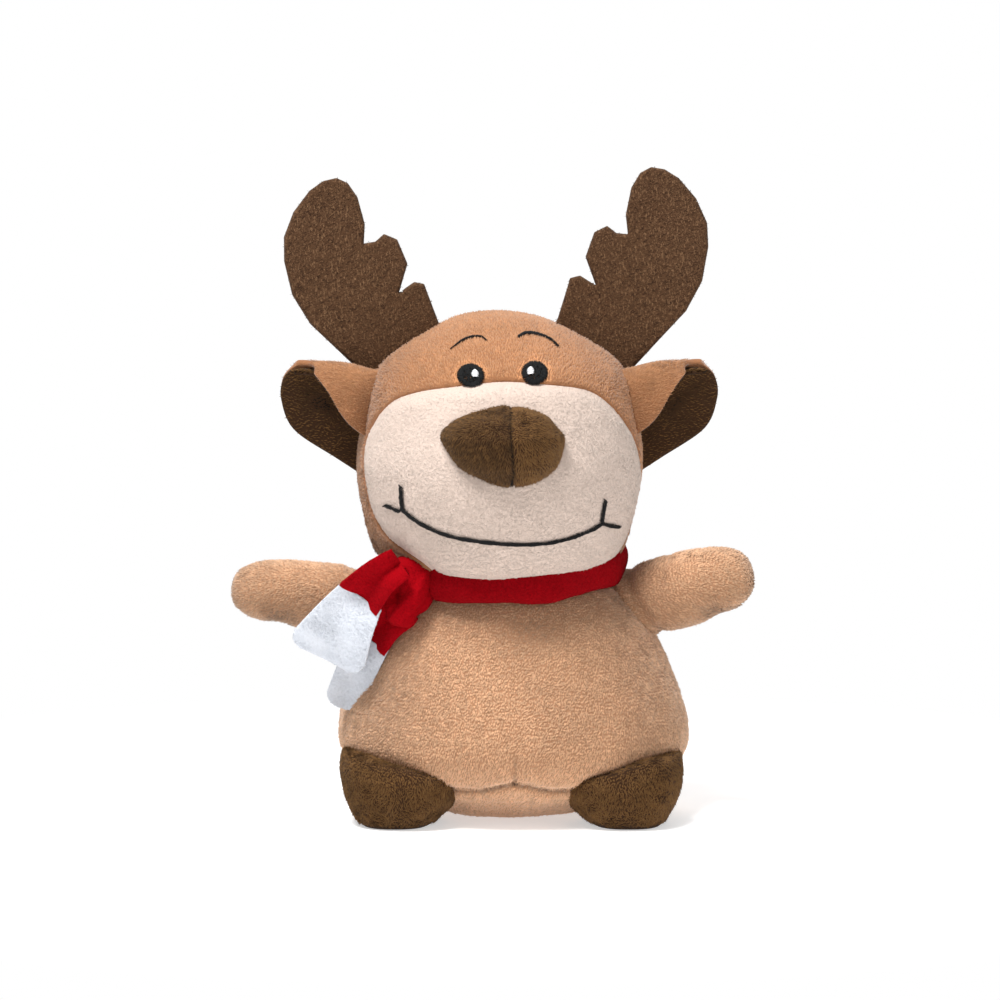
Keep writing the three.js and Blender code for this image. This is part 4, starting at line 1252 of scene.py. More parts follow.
def muzzle_field(p: Points) -> np.ndarray:
    """Distance outside the muzzle's seam, on the head's face laid out flat.

    Args:
        p: Points in the head's frame.

    Returns:
        One distance for each point.
    """
    half = head_half(p[..., 2])
    share = np.clip(np.abs(p[..., 0]) / half, 0, 0.999)
    ahead = np.arcsin(share)
    ahead = np.where(p[..., 1] > 0, math.pi - ahead, ahead)
    aside = np.arccos(np.clip(-p[..., 1] / half * HEAD_HALF_WIDTH / HEAD_FRONT, -1, 1))
    turn = ahead + (aside - ahead) * smooth(share, 0.86, 0.96)
    x, z = np.sign(p[..., 0]) * turn * half, p[..., 2] - MUZZLE_LEVEL
    seam = MUZZLE_SEAM.line - [0, MUZZLE_LEVEL]
    angle = np.arctan2(seam[:, 1], seam[:, 0])
    order = np.argsort(angle)
    reach = np.interp(np.arctan2(z, x), angle[order], np.linalg.norm(seam, axis=1)[order], period=2 * math.pi)
    return np.hypot(x, z) - reach


def head_half(z: np.ndarray) -> np.ndarray:
    """Half width of the head at a height in its own frame."""
    line = Curve(HEAD_OUTLINE).line
    return np.maximum(np.interp((z + GROUND_FLAT) / HEAD_HEIGHT, line[:, 1], line[:, 0]) * HEAD_HALF_WIDTH, 0.3)


def outside_head(p: Points) -> np.ndarray:
    """How far points of the head's frame lie outside the head."""
    return head_form().outside(p + np.array([0, 0, GROUND_FLAT]))


def face_seam(p: Points) -> np.ndarray:
    """Distance outside the muzzle's seam, with the back of the head far outside it."""
    return np.where(p[..., 1] < 0, muzzle_field(p), 9.0)


def head_relief(p: Points) -> np.ndarray:
    """The head's seams pulled in, the muzzle puffed behind its seam and the stuffing's unevenness.

    Args:
        p: Points in the head's frame.

    Returns:
        How far each point is raised.
    """
    x, y, z = axes(p)
    seam = muzzle_field(p)
    front = smooth(-y, 0, 4)
    groove = dip(seam, 0.6, 1.4) * front + dip(y - HEAD_SEAM, 0.8, 2.0) * (1 - front)
    puff = 0.7 * smooth(-seam, 0, 4) * front
    fine = dip(x - 0.6, 0.35, 1.2) * smooth(z, 42, 46) * smooth(-seam, -0.5, 0.5)
    return groove + puff + fine + waves(p, 28, 41) * 0.4 + waves(p, 8, 42) * 0.08


def face_point(x: np.ndarray, z: np.ndarray) -> tuple[Points, Points]:
    """Points and normals of the face's skin at places of its flat front view, in the head's frame.

    Args:
        x: Places across.
        z: Heights.

    Returns:
        The points and the unit normals.
    """

    def skin(a: np.ndarray, b: np.ndarray) -> Points:
        """The plain egg with the muzzle's swell at places across and up.

        Args:
            a: Places across.
            b: Heights.

        Returns:
            The points.
        """
        half = head_half(b)
        aside = np.clip(np.abs(a) / half, 0, 0.99) ** SQUARENESS
        depth = half * HEAD_FRONT / HEAD_HALF_WIDTH * (1 - aside) ** (1 / SQUARENESS)
        facing = np.clip(depth / (HEAD_FRONT * FACE_SHARE), 0, 1)
        return np.stack([a, -depth - muzzle_swell(a, b + GROUND_FLAT) * facing, b], -1)

    at = skin(x, z)
    normal = unit(np.cross(skin(x + 0.2, z) - at, skin(x, z + 0.2) - at))
    return at + normal * head_relief(at)[..., None], normal


EYES = {Side.LEFT: ((-8.3, 56.1), (-7.1, 56.2)), Side.RIGHT: ((8.6, 56.8), (7.4, 56.9))}


def head_shade(world: Points) -> np.ndarray:
    """A pale ring of parted pile round each eye, painted shade in the muzzle's seam and low on the face, and painted
    light towards the right.

    Args:
        world: Points in the row frame.

    Returns:
        A tone for each point, below zero for darker.
    """
    p = in_head(world)
    # painted light and shade across the head, lighter to the right, and painted shade in the muzzle's seam
    tone = 0.018 * p[..., 0] - 1.2 * bell(muzzle_field(p) / 0.6) * (p[..., 1] < 0)
    # painted shade low on the face
    tone = tone - 1.6 * smooth(-p[..., 2], -16, -6) * (p[..., 1] < 0)
    for (x, z), _ in EYES.values():
        far = np.hypot((p[..., 0] - x) / EYE_HALF_WIDTH, (p[..., 2] - z) / EYE_HALF_HEIGHT)
        tone = tone + 2.0 * bell((far - 1.15) / 0.16) * (p[..., 1] < 0)
    return tone


@dataclass
class Head:
    """The head in a forehead, a back and a muzzle panel, round its filling."""

    rows: int = 200
    columns: int = 400
    fullness: float = 0.85

    def build(self) -> None:
        """Builds and places the head's pieces."""
        seams = (lambda p: p[..., 1] - HEAD_SEAM, face_seam)
        weave = Weave(head_form().locate, self.rows, self.columns, seams=seams, relief=head_relief, place=HEAD_PLACE)
        middle = weave.middles()
        muzzle = (muzzle_field(middle) < 0) & (middle[..., 1] < -HEAD_SEAM)
        back = (middle[..., 1] > HEAD_SEAM) & ~muzzle
        parts = (
            ("forehead", ~muzzle & ~back, Finish.CROWN_PLUSH, over_crown,
             Pile(seed=31, shade=head_shade,
                  within=lambda w: np.minimum(face_seam(in_head(w)), HEAD_SEAM - in_head(w)[..., 1]))),
            ("head_back", back, Finish.CROWN_PLUSH, over_crown,
             Pile(seed=32, spacing=0.34, within=lambda w: in_head(w)[..., 1] - HEAD_SEAM)),
            # the muzzle's pile is a little darker all over, with painted shade towards its bottom
            ("muzzle", muzzle, Finish.CREAM_PLUSH, brushed((1.2, 0, 0), (0, 0, -0.6)),
             Pile(seed=33, jitter=0.5, stray=0.5, length=1.0, width=0.42, lift=0.2, tilt=0.35,
                  within=lambda w: -face_seam(in_head(w)),
                  shade=lambda w: -1.0 - 2.2 * smooth(-in_head(w)[..., 2], -17, -4))),
        )
        for name, keep, slot, nap, pile in parts:
            sew(weave, name, f"{name}_panel", slot, "head", keep, pile, nap, weave.every)
        fill = stuffing("head", head_form(DRAWN_IN), 40, 70, HEAD_PLACE, lambda p: waves(p, 12, 4) * 0.25)
        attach(fill, "head")


@dataclass
class Nose:
    """The brown nose, sewn from two halves, round its filling."""

    half_width: float = 16.0
    height: float = 21.5
    bottom: float = 27.17
    depth: float = 13.0
    sink: float = 3.0
    skew: float = 3.6
    crown_shift: float = 2.2
    seam_x: float = 2.2
    sunk: float = 1.0
    fullness: float = 0.8

    def form(self, grow: float) -> StuffedForm:
        """The egg of the nose, set into the face.

        Args:
            grow: How far the skin is moved outwards.

        Returns:
            The form.
        """
        face = face_point(np.array(0.0), np.array(self.bottom + self.height / 2))[0][1]

        def seat(p: Points) -> Points:
            """Leans the egg to one side and sinks it into the face.

            Args:
                p: Points of the upright egg.

            Returns:
                The same points where they lie.
            """
            x, y, z = axes(p)
            rise = z / self.height
            aside = self.skew * (0.6 - rise) + self.crown_shift * smooth(rise, 0.7, 1)
            return np.stack([x + aside, y + face + self.sink, z + self.bottom], -1)

        return StuffedForm(NOSE_OUTLINE, self.half_width, self.height, self.depth, self.depth, grow, shift=seat)

    def seam(self, p: Points) -> np.ndarray:
        """Distance to the right of the centre seam, which winds a little."""
        return p[..., 0] - self.seam_x - 0.35 * np.sin((p[..., 2] - self.bottom) * 0.3)

    def relief(self, p: Points) -> np.ndarray:
        """The seam pulled in and the stuffing's unevenness."""
        return dip(self.seam(p), 0.5, 1.5) + waves(p, 12, 61) * 0.25

    def shade(self, world: Points) -> np.ndarray:
        """Painted shade in the seam, and darker pile on the left half."""
        across = self.seam(in_head(world))
        return -1.6 * bell(across / 0.5) - 1.1 * (across < 0)

    def build(self) -> None:
        """Builds and places the nose's pieces."""
        weave = Weave(self.form(0).locate, 60, 130, seams=(self.seam,), relief=self.relief, place=HEAD_PLACE)
        middle = weave.middles()
        shown = middle[..., 1] < face_point(middle[..., 0], middle[..., 2])[0][..., 1] + self.sunk
        for side, keep in ((Side.LEFT, self.seam(middle) < 0), (Side.RIGHT, self.seam(middle) >= 0)):
            name = f"nose_{side.word}"
            pile = Pile(seed=62 + side.value, pitch=0.6, spacing=0.3, length=1.3, width=0.45, shade=self.shade)
            sew(weave, name, f"{name}_half", Finish.BROWN_PLUSH, "head", shown & keep, pile,
                brushed((1, 0, 0.3), (0, 0, -0.8)))
        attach(stuffing("nose", self.form(DRAWN_IN), 20, 36, HEAD_PLACE), "head")


@dataclass
class Arm:
    """A tapering arm that is sewn to the torso at its shoulder, raised and turned forward by degrees."""

    side: Side
    length: float
    lift: float
    forward: float
    half: float
    flatness: float = 0.88
    sunk: float = 1.0
    fullness: float = 0.75

    def __post_init__(self) -> None:
        """Finds the arm's placing from its joint."""
        self.pivot = HINGES[f"{self.side.word}_shoulder"] / MM
        lift, forward = math.radians(self.lift), math.radians(self.forward)
        across = self.side.value * math.cos(lift) * math.cos(forward)
        self.along = unit(np.array([across, -math.sin(forward), math.sin(lift)]))
        deep = unit(np.array([0, 1.0, 0]) - self.along * self.along[1])
        self.place = np.eye(4)
        self.place[:3, :3] = np.stack([np.cross(deep, self.along), deep, self.along], 1)
        self.place[:3, 3] = self.pivot

    def form(self, grow: float) -> StuffedForm:
        """The arm's form, standing on its shoulder."""
        deep = self.half * self.flatness
        return StuffedForm(ARM_OUTLINE, self.half, self.length, deep, deep, grow)

    def relief(self, p: Points) -> np.ndarray:
        """Creases at the root and behind the elbow, and the stuffing's unevenness.

        Args:
            p: Points in the arm's own frame.

        Returns:
            How far each point is raised.
        """
        x, _, z = axes(p)
        above = smooth(-x * self.side.value, -1, 5)
        crease = dip(z - self.length * 0.16 - x * 0.2, 1.0, 3.5)
        wrinkle = dip(z - self.length * 0.34 + x * 0.35, 0.45, 2.0) * above
        return crease + wrinkle + waves(p, 16, 70 + self.side.value) * 0.35 - 1.2 * self.fold(p)

    def fold(self, p: Points) -> np.ndarray:
        """The dent on the underside where the tip bends, as a share from 0 to 1."""
        below = p[..., 0] * self.side.value
        return bell((p[..., 2] - self.length * 0.66) / 4.5, (below - self.half * 0.75) / 3.5)

    def shade(self, world: Points) -> np.ndarray:
        """Painted shade at the root, underneath, in the dent and towards the tip, and over all of the left arm.

        Args:
            world: Points in the row frame.

        Returns:
            A tone for each point, below zero for darker.
        """
        p = seen_from(world, self.place)
        x, _, z = axes(p)
        root = np.exp(-np.maximum(z - 4, 0) / 9)
        below = smooth(x * self.side.value, -2, self.half)
        tip = smooth(z, self.length * 0.6, self.length * 0.9)
        # painted shade, and on the left arm painted shade all over
        return -0.8 * root - 0.6 * below - 1.4 * self.fold(p) - 0.5 * tip - (0.5 if self.side is Side.LEFT else 0.0)

    def build(self) -> None:
        """Builds the arm's pieces."""
        weave = Weave(self.form(0).locate, 64, 84, relief=self.relief, place=self.place)
        world = weave.points - SHIFT
        p = np.concatenate([world, world[:, :1]], 1)
        keep = outside_torso((p[:-1, :-1] + p[1:, 1:]) / 2) > -self.sunk
        body = f"{self.side.word}_arm"
        nap = brushed((0, 0, 0), self.along + [0, 0, -0.4])
        pile = Pile(seed=71 + self.side.value, shade=self.shade)
        pieces = [
            dress(weave.shell(f"{body}_cloth", keep, PLUSH), Finish.TAN_PLUSH, [f"{body}_cover"]),
            dress(pile.grow_on(weave, f"{body}_pile", keep, nap), Finish.TAN_PLUSH),
            stuffing(body, self.form(DRAWN_IN), 30, 36, self.place),
        ]
        bend(pieces, (self.pivot - self.along * 2) * MM, (self.pivot + self.along * 10) * MM)


@dataclass
class Foot:
    """A brown foot pad, sewn to the front of the torso with its sole flat on the ground."""

    side: Side
    half: float = 16.8
    height: float = 17.0
    spread: float = 28.6
    shift: float = 1.0
    forward: float = 19.0
    reach: float = 21.0
    slope: float = 0.2
    lean: float = 6.0
    splay: float = 2.8
    squareness: float = 2.5
    sunk: float = 0.8
    sole: float = 1.0
    fullness: float = 0.8

    def form(self, grow: float) -> StuffedForm:
        """The foot's form in the body's frame.

        Args:
            grow: How far the skin is moved outwards.

        Returns:
            The form.
        """

        def sit(p: Points) -> Points:
            """Slopes the foot's top outwards, leans it and sets its sole flat on the ground.

            Args:
                p: Points of the upright form.

            Returns:
                The same points where they lie.
            """
            z = p[..., 2] * (1 + self.side.value * self.slope * p[..., 0] / self.half) - GROUND_FLAT
            outward = self.spread + self.splay * (1 - p[..., 2] / self.height)
            across = p[..., 0] + TORSO_MIDDLE_X - self.shift + self.side.value * outward
            deep = p[..., 1] + self.lean * p[..., 2] / self.height - self.forward
            return np.stack([across, deep, np.maximum(z, 0.02 - min(grow, 0))], -1)

        return StuffedForm(FOOT_OUTLINE, self.half, self.height, self.reach, self.half, grow, self.squareness, sit)

    def relief(self, p: Points) -> np.ndarray:
        """The stuffing's unevenness, none at the sole."""
        return (waves(p, 13, 80 + self.side.value) * 0.3) * smooth(p[..., 2], 0.5, 3)

    def build(self) -> None:
        """Builds and places the foot's pieces."""
        weave = Weave(self.form(0).locate, 60, 120, seams=(outside_torso,), relief=self.relief)
        middle = weave.middles()
        keep = outside_torso(middle) > -self.sunk
        name = f"{self.side.word}_foot"
        pile = Pile(seed=82 + self.side.value, pitch=0.7, spacing=0.3, length=1.3, width=0.48)
        sew(weave, name, f"{name}_cover", Finish.BROWN_PLUSH, "torso", keep, pile,
            brushed((0.6, 0.5, 0), (0, -0.6, -0.7)), keep & (middle[..., 2] > self.sole))
        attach(stuffing(name, self.form(DRAWN_IN), 24, 40), "torso")


EAR_FRONT = [(-0.12, -0.2, -0.5), (0.26, 0.02, -1.05), (0.49, 0.3, -0.95), (0.66, 0.46, -0.55)]
EAR_FOLD = [(-0.3, 0.38, -0.4), (0.05, 0.43, -0.5), (0.38, 0.49, -0.5), (0.69, 0.5, -0.42)]
EAR_RIM = [(-0.12, -0.57, 0.45), (0.4, -0.3, 0.4), (0.86, -0.05, 0.3), (1.0, 0.22, 0.1), (0.98, 0.4, -0.1),
           (0.86, 0.5, -0.25), (0.73, 0.51, -0.4)]


@dataclass
class Ear:
    """A cupped ear of two plies: a plush back and a brown lining, folded along its top."""

    side: Side
    reach: float = 24.5
    rise: float = 31.0
    cup: float = 9.0
    root_level: float = 41.0
    rows: int = 50
    columns: int = 56
    pocket_x: float = 48.5
    pocket_level: float = 47.0
    supple: float = 8.0

    def guide(self, shares: Sequence[tuple[float, float, float]], u: np.ndarray) -> Points:
        """Points of a guide line that is given in shares of the ear's reach, rise and cup.

        Args:
            shares: The line's guide points: outwards, up and back.
            u: Shares of the line's length.

        Returns:
            The points in the head's frame.
        """
        return Curve([(self.side.value * (HEAD_HALF_WIDTH * 0.9 + out * self.reach), back * self.cup,
                       self.root_level + up * self.rise) for out, up, back in shares]).at(u)

    def locate(self, u: np.ndarray, v: np.ndarray) -> Points:
        """Points of the ear's middle surface: a bow across three guide lines that run to the tip.

        Args:
            u: Share of the way from the root to the tip.
            v: Share of the way from the front flap to the rim.

        Returns:
            The points in the head's frame.
        """
        front, fold, rim = (self.guide(shares, u) for shares in (EAR_FRONT, EAR_FOLD, EAR_RIM))
        v = v[..., None]
        return front * (1 - v) ** 2 + (fold * 2 - front / 2 - rim / 2) * 2 * v * (1 - v) + rim * v**2

    def pocket(self, world: Points) -> np.ndarray:
        """Painted shadow in the pocket behind the front flap, over streaks of lighter and darker pile, the lining a
        little darker all over.

        Args:
            world: Points in the row frame.

        Returns:
            A tone for each point, below zero for darker.
        """
        p = in_head(world)
        out, up = p[..., 0] * self.side.value - self.pocket_x, p[..., 2] - self.pocket_level
        across, down = out * 0.8 + up * 0.6, up * 0.8 - out * 0.6
        # streaks of tone, the lining a little darker, and painted shadow in the pocket
        return 0.6 * waves(p, 8, 97) - 0.5 - 2.2 * bell(across / 6, down / 2.2)

    def ply(self, name: str, slot: Finish, finish: Finish, inward: bool, thickness: float,
            shade: Field) -> list[bpy.types.Object]:
        """One ply of the ear with its pile.

        Args:
            name: The frame node that it stands for, and the start of the two pieces' names.
            slot: Material slot.
            finish: Its finish.
            inward: Whether the ply faces against the surface's own normals.
            thickness: Thickness of the cloth.
            shade: Gives the pile's tone.

        Returns:
            The cloth and its pile.
        """
        weave = Weave(self.locate, self.rows, self.columns, wraps=False, place=HEAD_PLACE, inward=inward,
                      relief=lambda p: waves(p, 10, 90) * 0.15 + 0.15 + thickness)
        row = np.arange(self.rows)[:, None]
        keep = (outside_head(weave.middles()) > -ROOTED) & (row < self.rows - 2)
        cloth = dress(weave.shell(f"{name}_cloth", keep, thickness), slot, [name], finish)
        pile = Pile(seed=91, pitch=0.7, spacing=0.32, width=0.45, shade=shade)
        nap = brushed((0, 0, 0), (self.side.value, 0, 0.3))
        hair = pile.grow_on(weave, f"{name}_pile", keep & (row < self.rows - 3), nap)
        return [cloth, dress(hair, slot, finish=finish)]

    def build(self) -> None:
        """Builds the ear's plies."""
        word, away = self.side.word, self.side is Side.RIGHT
        # the back ply's pile carries painted shade, evenly darker all over
        pieces = self.ply(f"{word}_ear_back", Finish.TAN_PLUSH, Finish.CROWN_PLUSH, away, PLUSH, even(-0.5))
        pieces += self.ply(f"{word}_ear_lining", Finish.BROWN_PLUSH, Finish.BROWN_PLUSH, not away, LINING,
                           self.pocket)
        pivot = HINGES[f"{word}_ear_flop"]
        bend(pieces, pivot, pivot + [self.side.value * self.supple * MM, 0, 0])


ANTLER_OUTLINE = np.array([
    (-0.05, 0.17), (0.38, -0.07), (0.66, 0.15), (0.844, 0.294), (0.951, 0.438), (0.995, 0.604), (0.991, 0.721),
    (0.926, 0.841), (0.821, 0.942), (0.733, 0.987), (0.649, 1), (0.579, 0.973), (0.521, 0.903), (0.481, 0.771),
    (0.491, 0.677), (0.419, 0.685), (0.363, 0.721), (0.281, 0.692), (0.221, 0.573), (0.281, 0.432),
    (0.184, 0.483), (0.121, 0.472), (0.035, 0.276)])


@dataclass
class Antler:
    """A flat antler of thick felt, cut with two lobes on its inner edge."""

    side: Side
    height: float = 55.5
    spread: float = 43.0
    thickness: float = 3.0
    base: float = 53.2
    tilt: float = math.radians(1.7)
    lift: float = 0.9
    edge: float = 0.6
    supple: float = 7.0
    rows: int = 130
    columns: int = 104

    def outline(self) -> Points:
        """The outline in the face's plane, from the inner foot of the base round the outside.

        Returns:
            Its corners, across and up.
        """
        line = ANTLER_OUTLINE * [self.spread, self.height] + [HEAD_HALF_WIDTH * 0.38, self.base]
        root = np.array([HEAD_HALF_WIDTH * 0.65, self.base + self.height * 0.13])
        cos, sin = math.cos(self.tilt), math.sin(self.tilt) * self.side.value
        line = (line - root) @ np.array([[cos, sin], [-sin, cos]]) + root
        return line * [self.side.value, 1] + [0, self.side.value * self.lift]

    def distance(self, points: Points) -> np.ndarray:
        """Distance outside the outline, seen from the front.

        Args:
            points: Points in the head's frame.

        Returns:
            One distance for each point, below zero inside.
        """
        a = self.outline()
        b = np.roll(a, -1, 0)
        p = points[..., [0, 2]][..., None, :]
        across, up = p[..., 0], p[..., 1]
        edge = b - a
        t = np.clip(((p - a) * edge).sum(-1) / np.maximum((edge**2).sum(-1), 1e-9), 0, 1)
        gap = np.linalg.norm(p - a - t[..., None] * edge, axis=-1).min(-1)
        crosses = (a[:, 1] > up) != (b[:, 1] > up)
        where = a[:, 0] + (up - a[:, 1]) * edge[:, 0] / np.where(edge[:, 1] == 0, 1e-9, edge[:, 1])
        inside = (crosses & (across < where)).sum(-1) % 2 == 1
        return np.where(inside, -gap, gap)

    def face(self, u: np.ndarray, v: np.ndarray) -> Points:
        """The flat sheet that the antler is cut from.

        Args:
            u: Share of the way up.
            v: Share of the way across.

        Returns:
            The points in the head's frame.
        """
        line = self.outline()
        low, high = line.min(0) - 1, line.max(0) + 1
        x, z = low[0] + (high[0] - low[0]) * v, low[1] + (high[1] - low[1]) * u
        return np.stack([x, np.full_like(x, 1.0), z], -1)

    def build(self) -> None:
        """Builds the felt with its softly rounded cut edge and loose fibres."""
        weave = Weave(self.face, self.rows, self.columns, wraps=False, seams=(self.distance,), place=HEAD_PLACE)
        inside = np.clip(-self.distance(weave.local) / self.edge, 0, 1)
        swell = np.sqrt(np.clip(1 - (1 - inside) ** 2, 0.03, 1)) * self.thickness / 2
        uneven = waves(weave.local, 14, 101) * 0.25 + waves(weave.local, 4, 102) * 0.08
        weave.points = weave.points + weave.normals * (swell + uneven)[..., None]
        keep = (self.distance(weave.middles()) < 0) & (outside_head(weave.middles()) > -ROOTED)
        body = f"{self.side.word}_antler"
        pieces = [dress(weave.shell(f"{body}_felt", keep, swell * 2), Finish.BROWN_FELT, [body])]
        fuzz = Pile(seed=104, pitch=0.9, spacing=0.9, length=1.1, width=0.13, lift=0.06, stray=3.0, jitter=0.6,
                    tilt=0.3)
        for way, flip in (("front", 1), ("back", -1)):
            skin = Weave(self.face, self.rows, self.columns, wraps=False, place=HEAD_PLACE)
            skin.points = weave.points - (weave.normals * swell[..., None] * 2 if flip < 0 else 0)
            skin.normals = weave.normals * flip
            pieces.append(dress(fuzz.grow_on(skin, f"{body}_{way}_fibres", keep, loose), Finish.BROWN_FELT))
        pivot, up = HINGES[f"{body}_flex"], np.array([self.side.value * 0.64, 0, 0.77]) * self.supple * MM
        bend(pieces, pivot - up, pivot + up)


BROWS = {
    Side.LEFT: Curve([(-13.4, 62.4), (-10.1, 64.6), (-7.5, 65.4), (-5.3, 65.4), (-4.0, 64.5)]),
    Side.RIGHT: Curve([(4.5, 65.4), (6.7, 66.3), (9.7, 66.0), (13.2, 64.7), (15.2, 63.0)]),
}
BROW_WIDTHS: dict[Side, Field] = {
    Side.LEFT: lambda s: 0.2 + 0.7 * s * (1.5 - s),
    Side.RIGHT: lambda s: 0.95 - 0.5 * np.abs(s - 0.4),
}
MOUTH = [
    [(-25.8, 20.7), (-21.3, 17.6), (-15.0, 15.1), (-7.4, 13.7), (4.2, 12.6), (13.0, 12.9), (20.1, 14.5),
     (25.6, 16.7)],
    [(-26.1, 26.9), (-26.1, 24.0), (-25.8, 20.7)],
    [(-30.3, 21.2), (-28.4, 20.7), (-26.6, 20.1)],
    [(26.6, 22.9), (26.1, 20.3), (25.6, 17.3)],
    [(25.6, 17.0), (27.8, 16.1), (30.5, 15.1)],
]
STRAND_TAPER = np.array([0.25, 0.8, 1, 1, 1, 0.8, 0.25])


@dataclass
class Embroidery:
    """Satin stitches on the face: eyes with their highlights, brows and the mouth."""

    raise_by: float = 0.7
    eye_thread: float = 0.17
    light_thread: float = 0.13
    brow_thread: float = 0.14
    mouth_thread: float = 0.24
    brow_pitch: float = 0.22
    mouth_pitch: float = 0.42
    spokes: int = 90
    tangle: int = 150
    seed: int = 7

    def stitches(self, name: str, start: np.ndarray, end: np.ndarray, radius: float, lift: float, slot: Finish,
                 nodes: list[str]) -> None:
        """Closed strands of thread between pairs of places on the face.

        Args:
            name: Name of the piece.
            start: Where each strand starts, across and up.
            end: Where each strand ends.
            radius: Half the strand's width.
            lift: How high the middle of a strand stands.
            slot: Material slot.
            nodes: Frame nodes that the piece replaces.
        """
        rng = np.random.default_rng(self.seed)
        n, rings, sides = len(start), len(STRAND_TAPER), 6
        s = np.linspace(0, 1, rings)
        flat = start[:, None] + (end - start)[:, None] * s[None, :, None]
        at, normal = face_point(flat[..., 0], flat[..., 1])
        way = unit(at[:, -1:] - at[:, :1])
        side = unit(np.cross(normal, way))
        arch = np.sqrt(np.sin(math.pi * np.clip(s, 0.02, 0.98)))[None, :, None]
        thick = radius * rng.uniform(0.8, 1.15, (n, 1, 1)) * STRAND_TAPER[None, :, None]
        centre = at + normal * (self.raise_by * 0.3 + arch * lift + rng.uniform(0, 0.12, (n, 1, 1)))
        angle = 2 * math.pi * np.arange(sides) / sides
        ring = (centre[:, :, None] + side[:, :, None] * (np.cos(angle)[:, None] * thick[..., None, :])
                + normal[:, :, None] * (np.sin(angle)[:, None] * thick[..., None, :]))
        points = put(ring.reshape(-1, 3), HEAD_PLACE)
        i, j = np.meshgrid(np.arange(rings - 1), np.arange(sides), indexing="ij")
        foot = np.array([[3, 2, 1, 0], [5, 4, 3, 0]])
        top = (rings - 1) * sides + np.array([[0, 1, 2, 3], [0, 3, 4, 5]])
        one = np.vstack([quads_at(i, j, sides).reshape(-1, 4), foot, top])
        faces = (np.arange(n)[:, None, None] * rings * sides + one).reshape(-1, 4)
        obj = mesh_object(name, points, faces, weld=False)
        attribute(obj, "tone", np.repeat(rng.uniform(0, 1, n), rings * sides))
        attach(dress(obj, slot, nodes), "head")

    def eye(self, side: Side) -> None:
        """Builds an eye of radial stitches with a roughly filled middle and a white highlight.

        Args:
            side: Which eye.
        """
        rng = np.random.default_rng(self.seed + side.value)
        ((x, z), light), wide, high = EYES[side], EYE_HALF_WIDTH, EYE_HALF_HEIGHT
        angle = np.linspace(0, 2 * math.pi, self.spokes, endpoint=False)
        rim = np.stack([x + wide * np.cos(angle), z + high * np.sin(angle)], -1)
        rim = rim + rng.normal(0, 0.06, (self.spokes, 2))
        hub = np.stack([x + wide * 0.5 * np.cos(angle + 0.1), z + high * 0.5 * np.sin(angle + 0.1)], -1)
        place = rng.uniform(-1, 1, (self.tangle, 2))
        place = place[np.hypot(*place.T) < 0.82]
        turn = rng.uniform(0, math.pi, len(place))
        way = np.stack([np.cos(turn), np.sin(turn)], -1) * 0.7
        inner = place * [wide * 0.7, high * 0.7] + [x, z]
        start, end = np.vstack([hub, inner - way]), np.vstack([rim, inner + way])
        name = f"{side.word}_eye"
        self.stitches(f"{name}_stitches", start, end, self.eye_thread, 0.4, Finish.BLACK_THREAD, [name])
        level = np.linspace(-0.75, 0.75, 9)
        half = np.sqrt(1 - (level / 0.85) ** 2 * 0.9) * 1.15
        centre = np.array(light)
        start, end = centre + np.stack([-half, level], -1), centre + np.stack([half, level], -1)
        self.stitches(f"{side.word}_highlight_stitches", start, end, self.light_thread, 1.0, Finish.WHITE_THREAD,
                      [f"{name}_highlight"])

    def along(self, line: Curve, pitch: float, width: Field) -> tuple[np.ndarray, np.ndarray]:
        """Slanting stitches across a line.

        Args:
            line: The line in the face's plane.
            pitch: Distance between stitches.
            width: Width of the line at shares of its length.

        Returns:
            The starts and the ends.
        """
        rng = np.random.default_rng(self.seed + 3)
        s = np.linspace(0, 1, max(int(line.length / pitch), 4))
        at, way = line.at(s), line.along(s)
        cross = np.stack([-way[:, 1], way[:, 0]], -1) * 0.85 + way * 0.65
        half = (width(s) / 2 * rng.uniform(0.85, 1.15, len(s)))[:, None]
        return at - cross * half, at + cross * half

    def build(self) -> None:
        """Builds every stitched piece of the face."""
        for side, brow in BROWS.items():
            self.eye(side)
            start, end = self.along(brow, self.brow_pitch, BROW_WIDTHS[side])
            name = f"{side.word}_brow"
            self.stitches(f"{name}_stitches", start, end, self.brow_thread, 0.25, Finish.BLACK_THREAD, [name])
        width = lambda s: 1.3 + 0.15 * np.sin(60 * s)
        runs = [self.along(Curve(guides), self.mouth_pitch, width) for guides in MOUTH]
        start, end = (np.vstack(places) for places in zip(*runs))
        self.stitches("mouth_stitches", start, end, self.mouth_thread, 0.35, Finish.BLACK_THREAD, ["mouth_line"])


def fleece_nap(seed: int, tone: float = 0.0) -> Pile:
    """The short nap of fleece, darker where the tone is below zero."""
    return Pile(seed=seed, pitch=0.6, spacing=0.42, length=0.6, width=0.34, lift=0.12, stray=2.0, jitter=0.5,
                tilt=0.15, shade=even(tone))


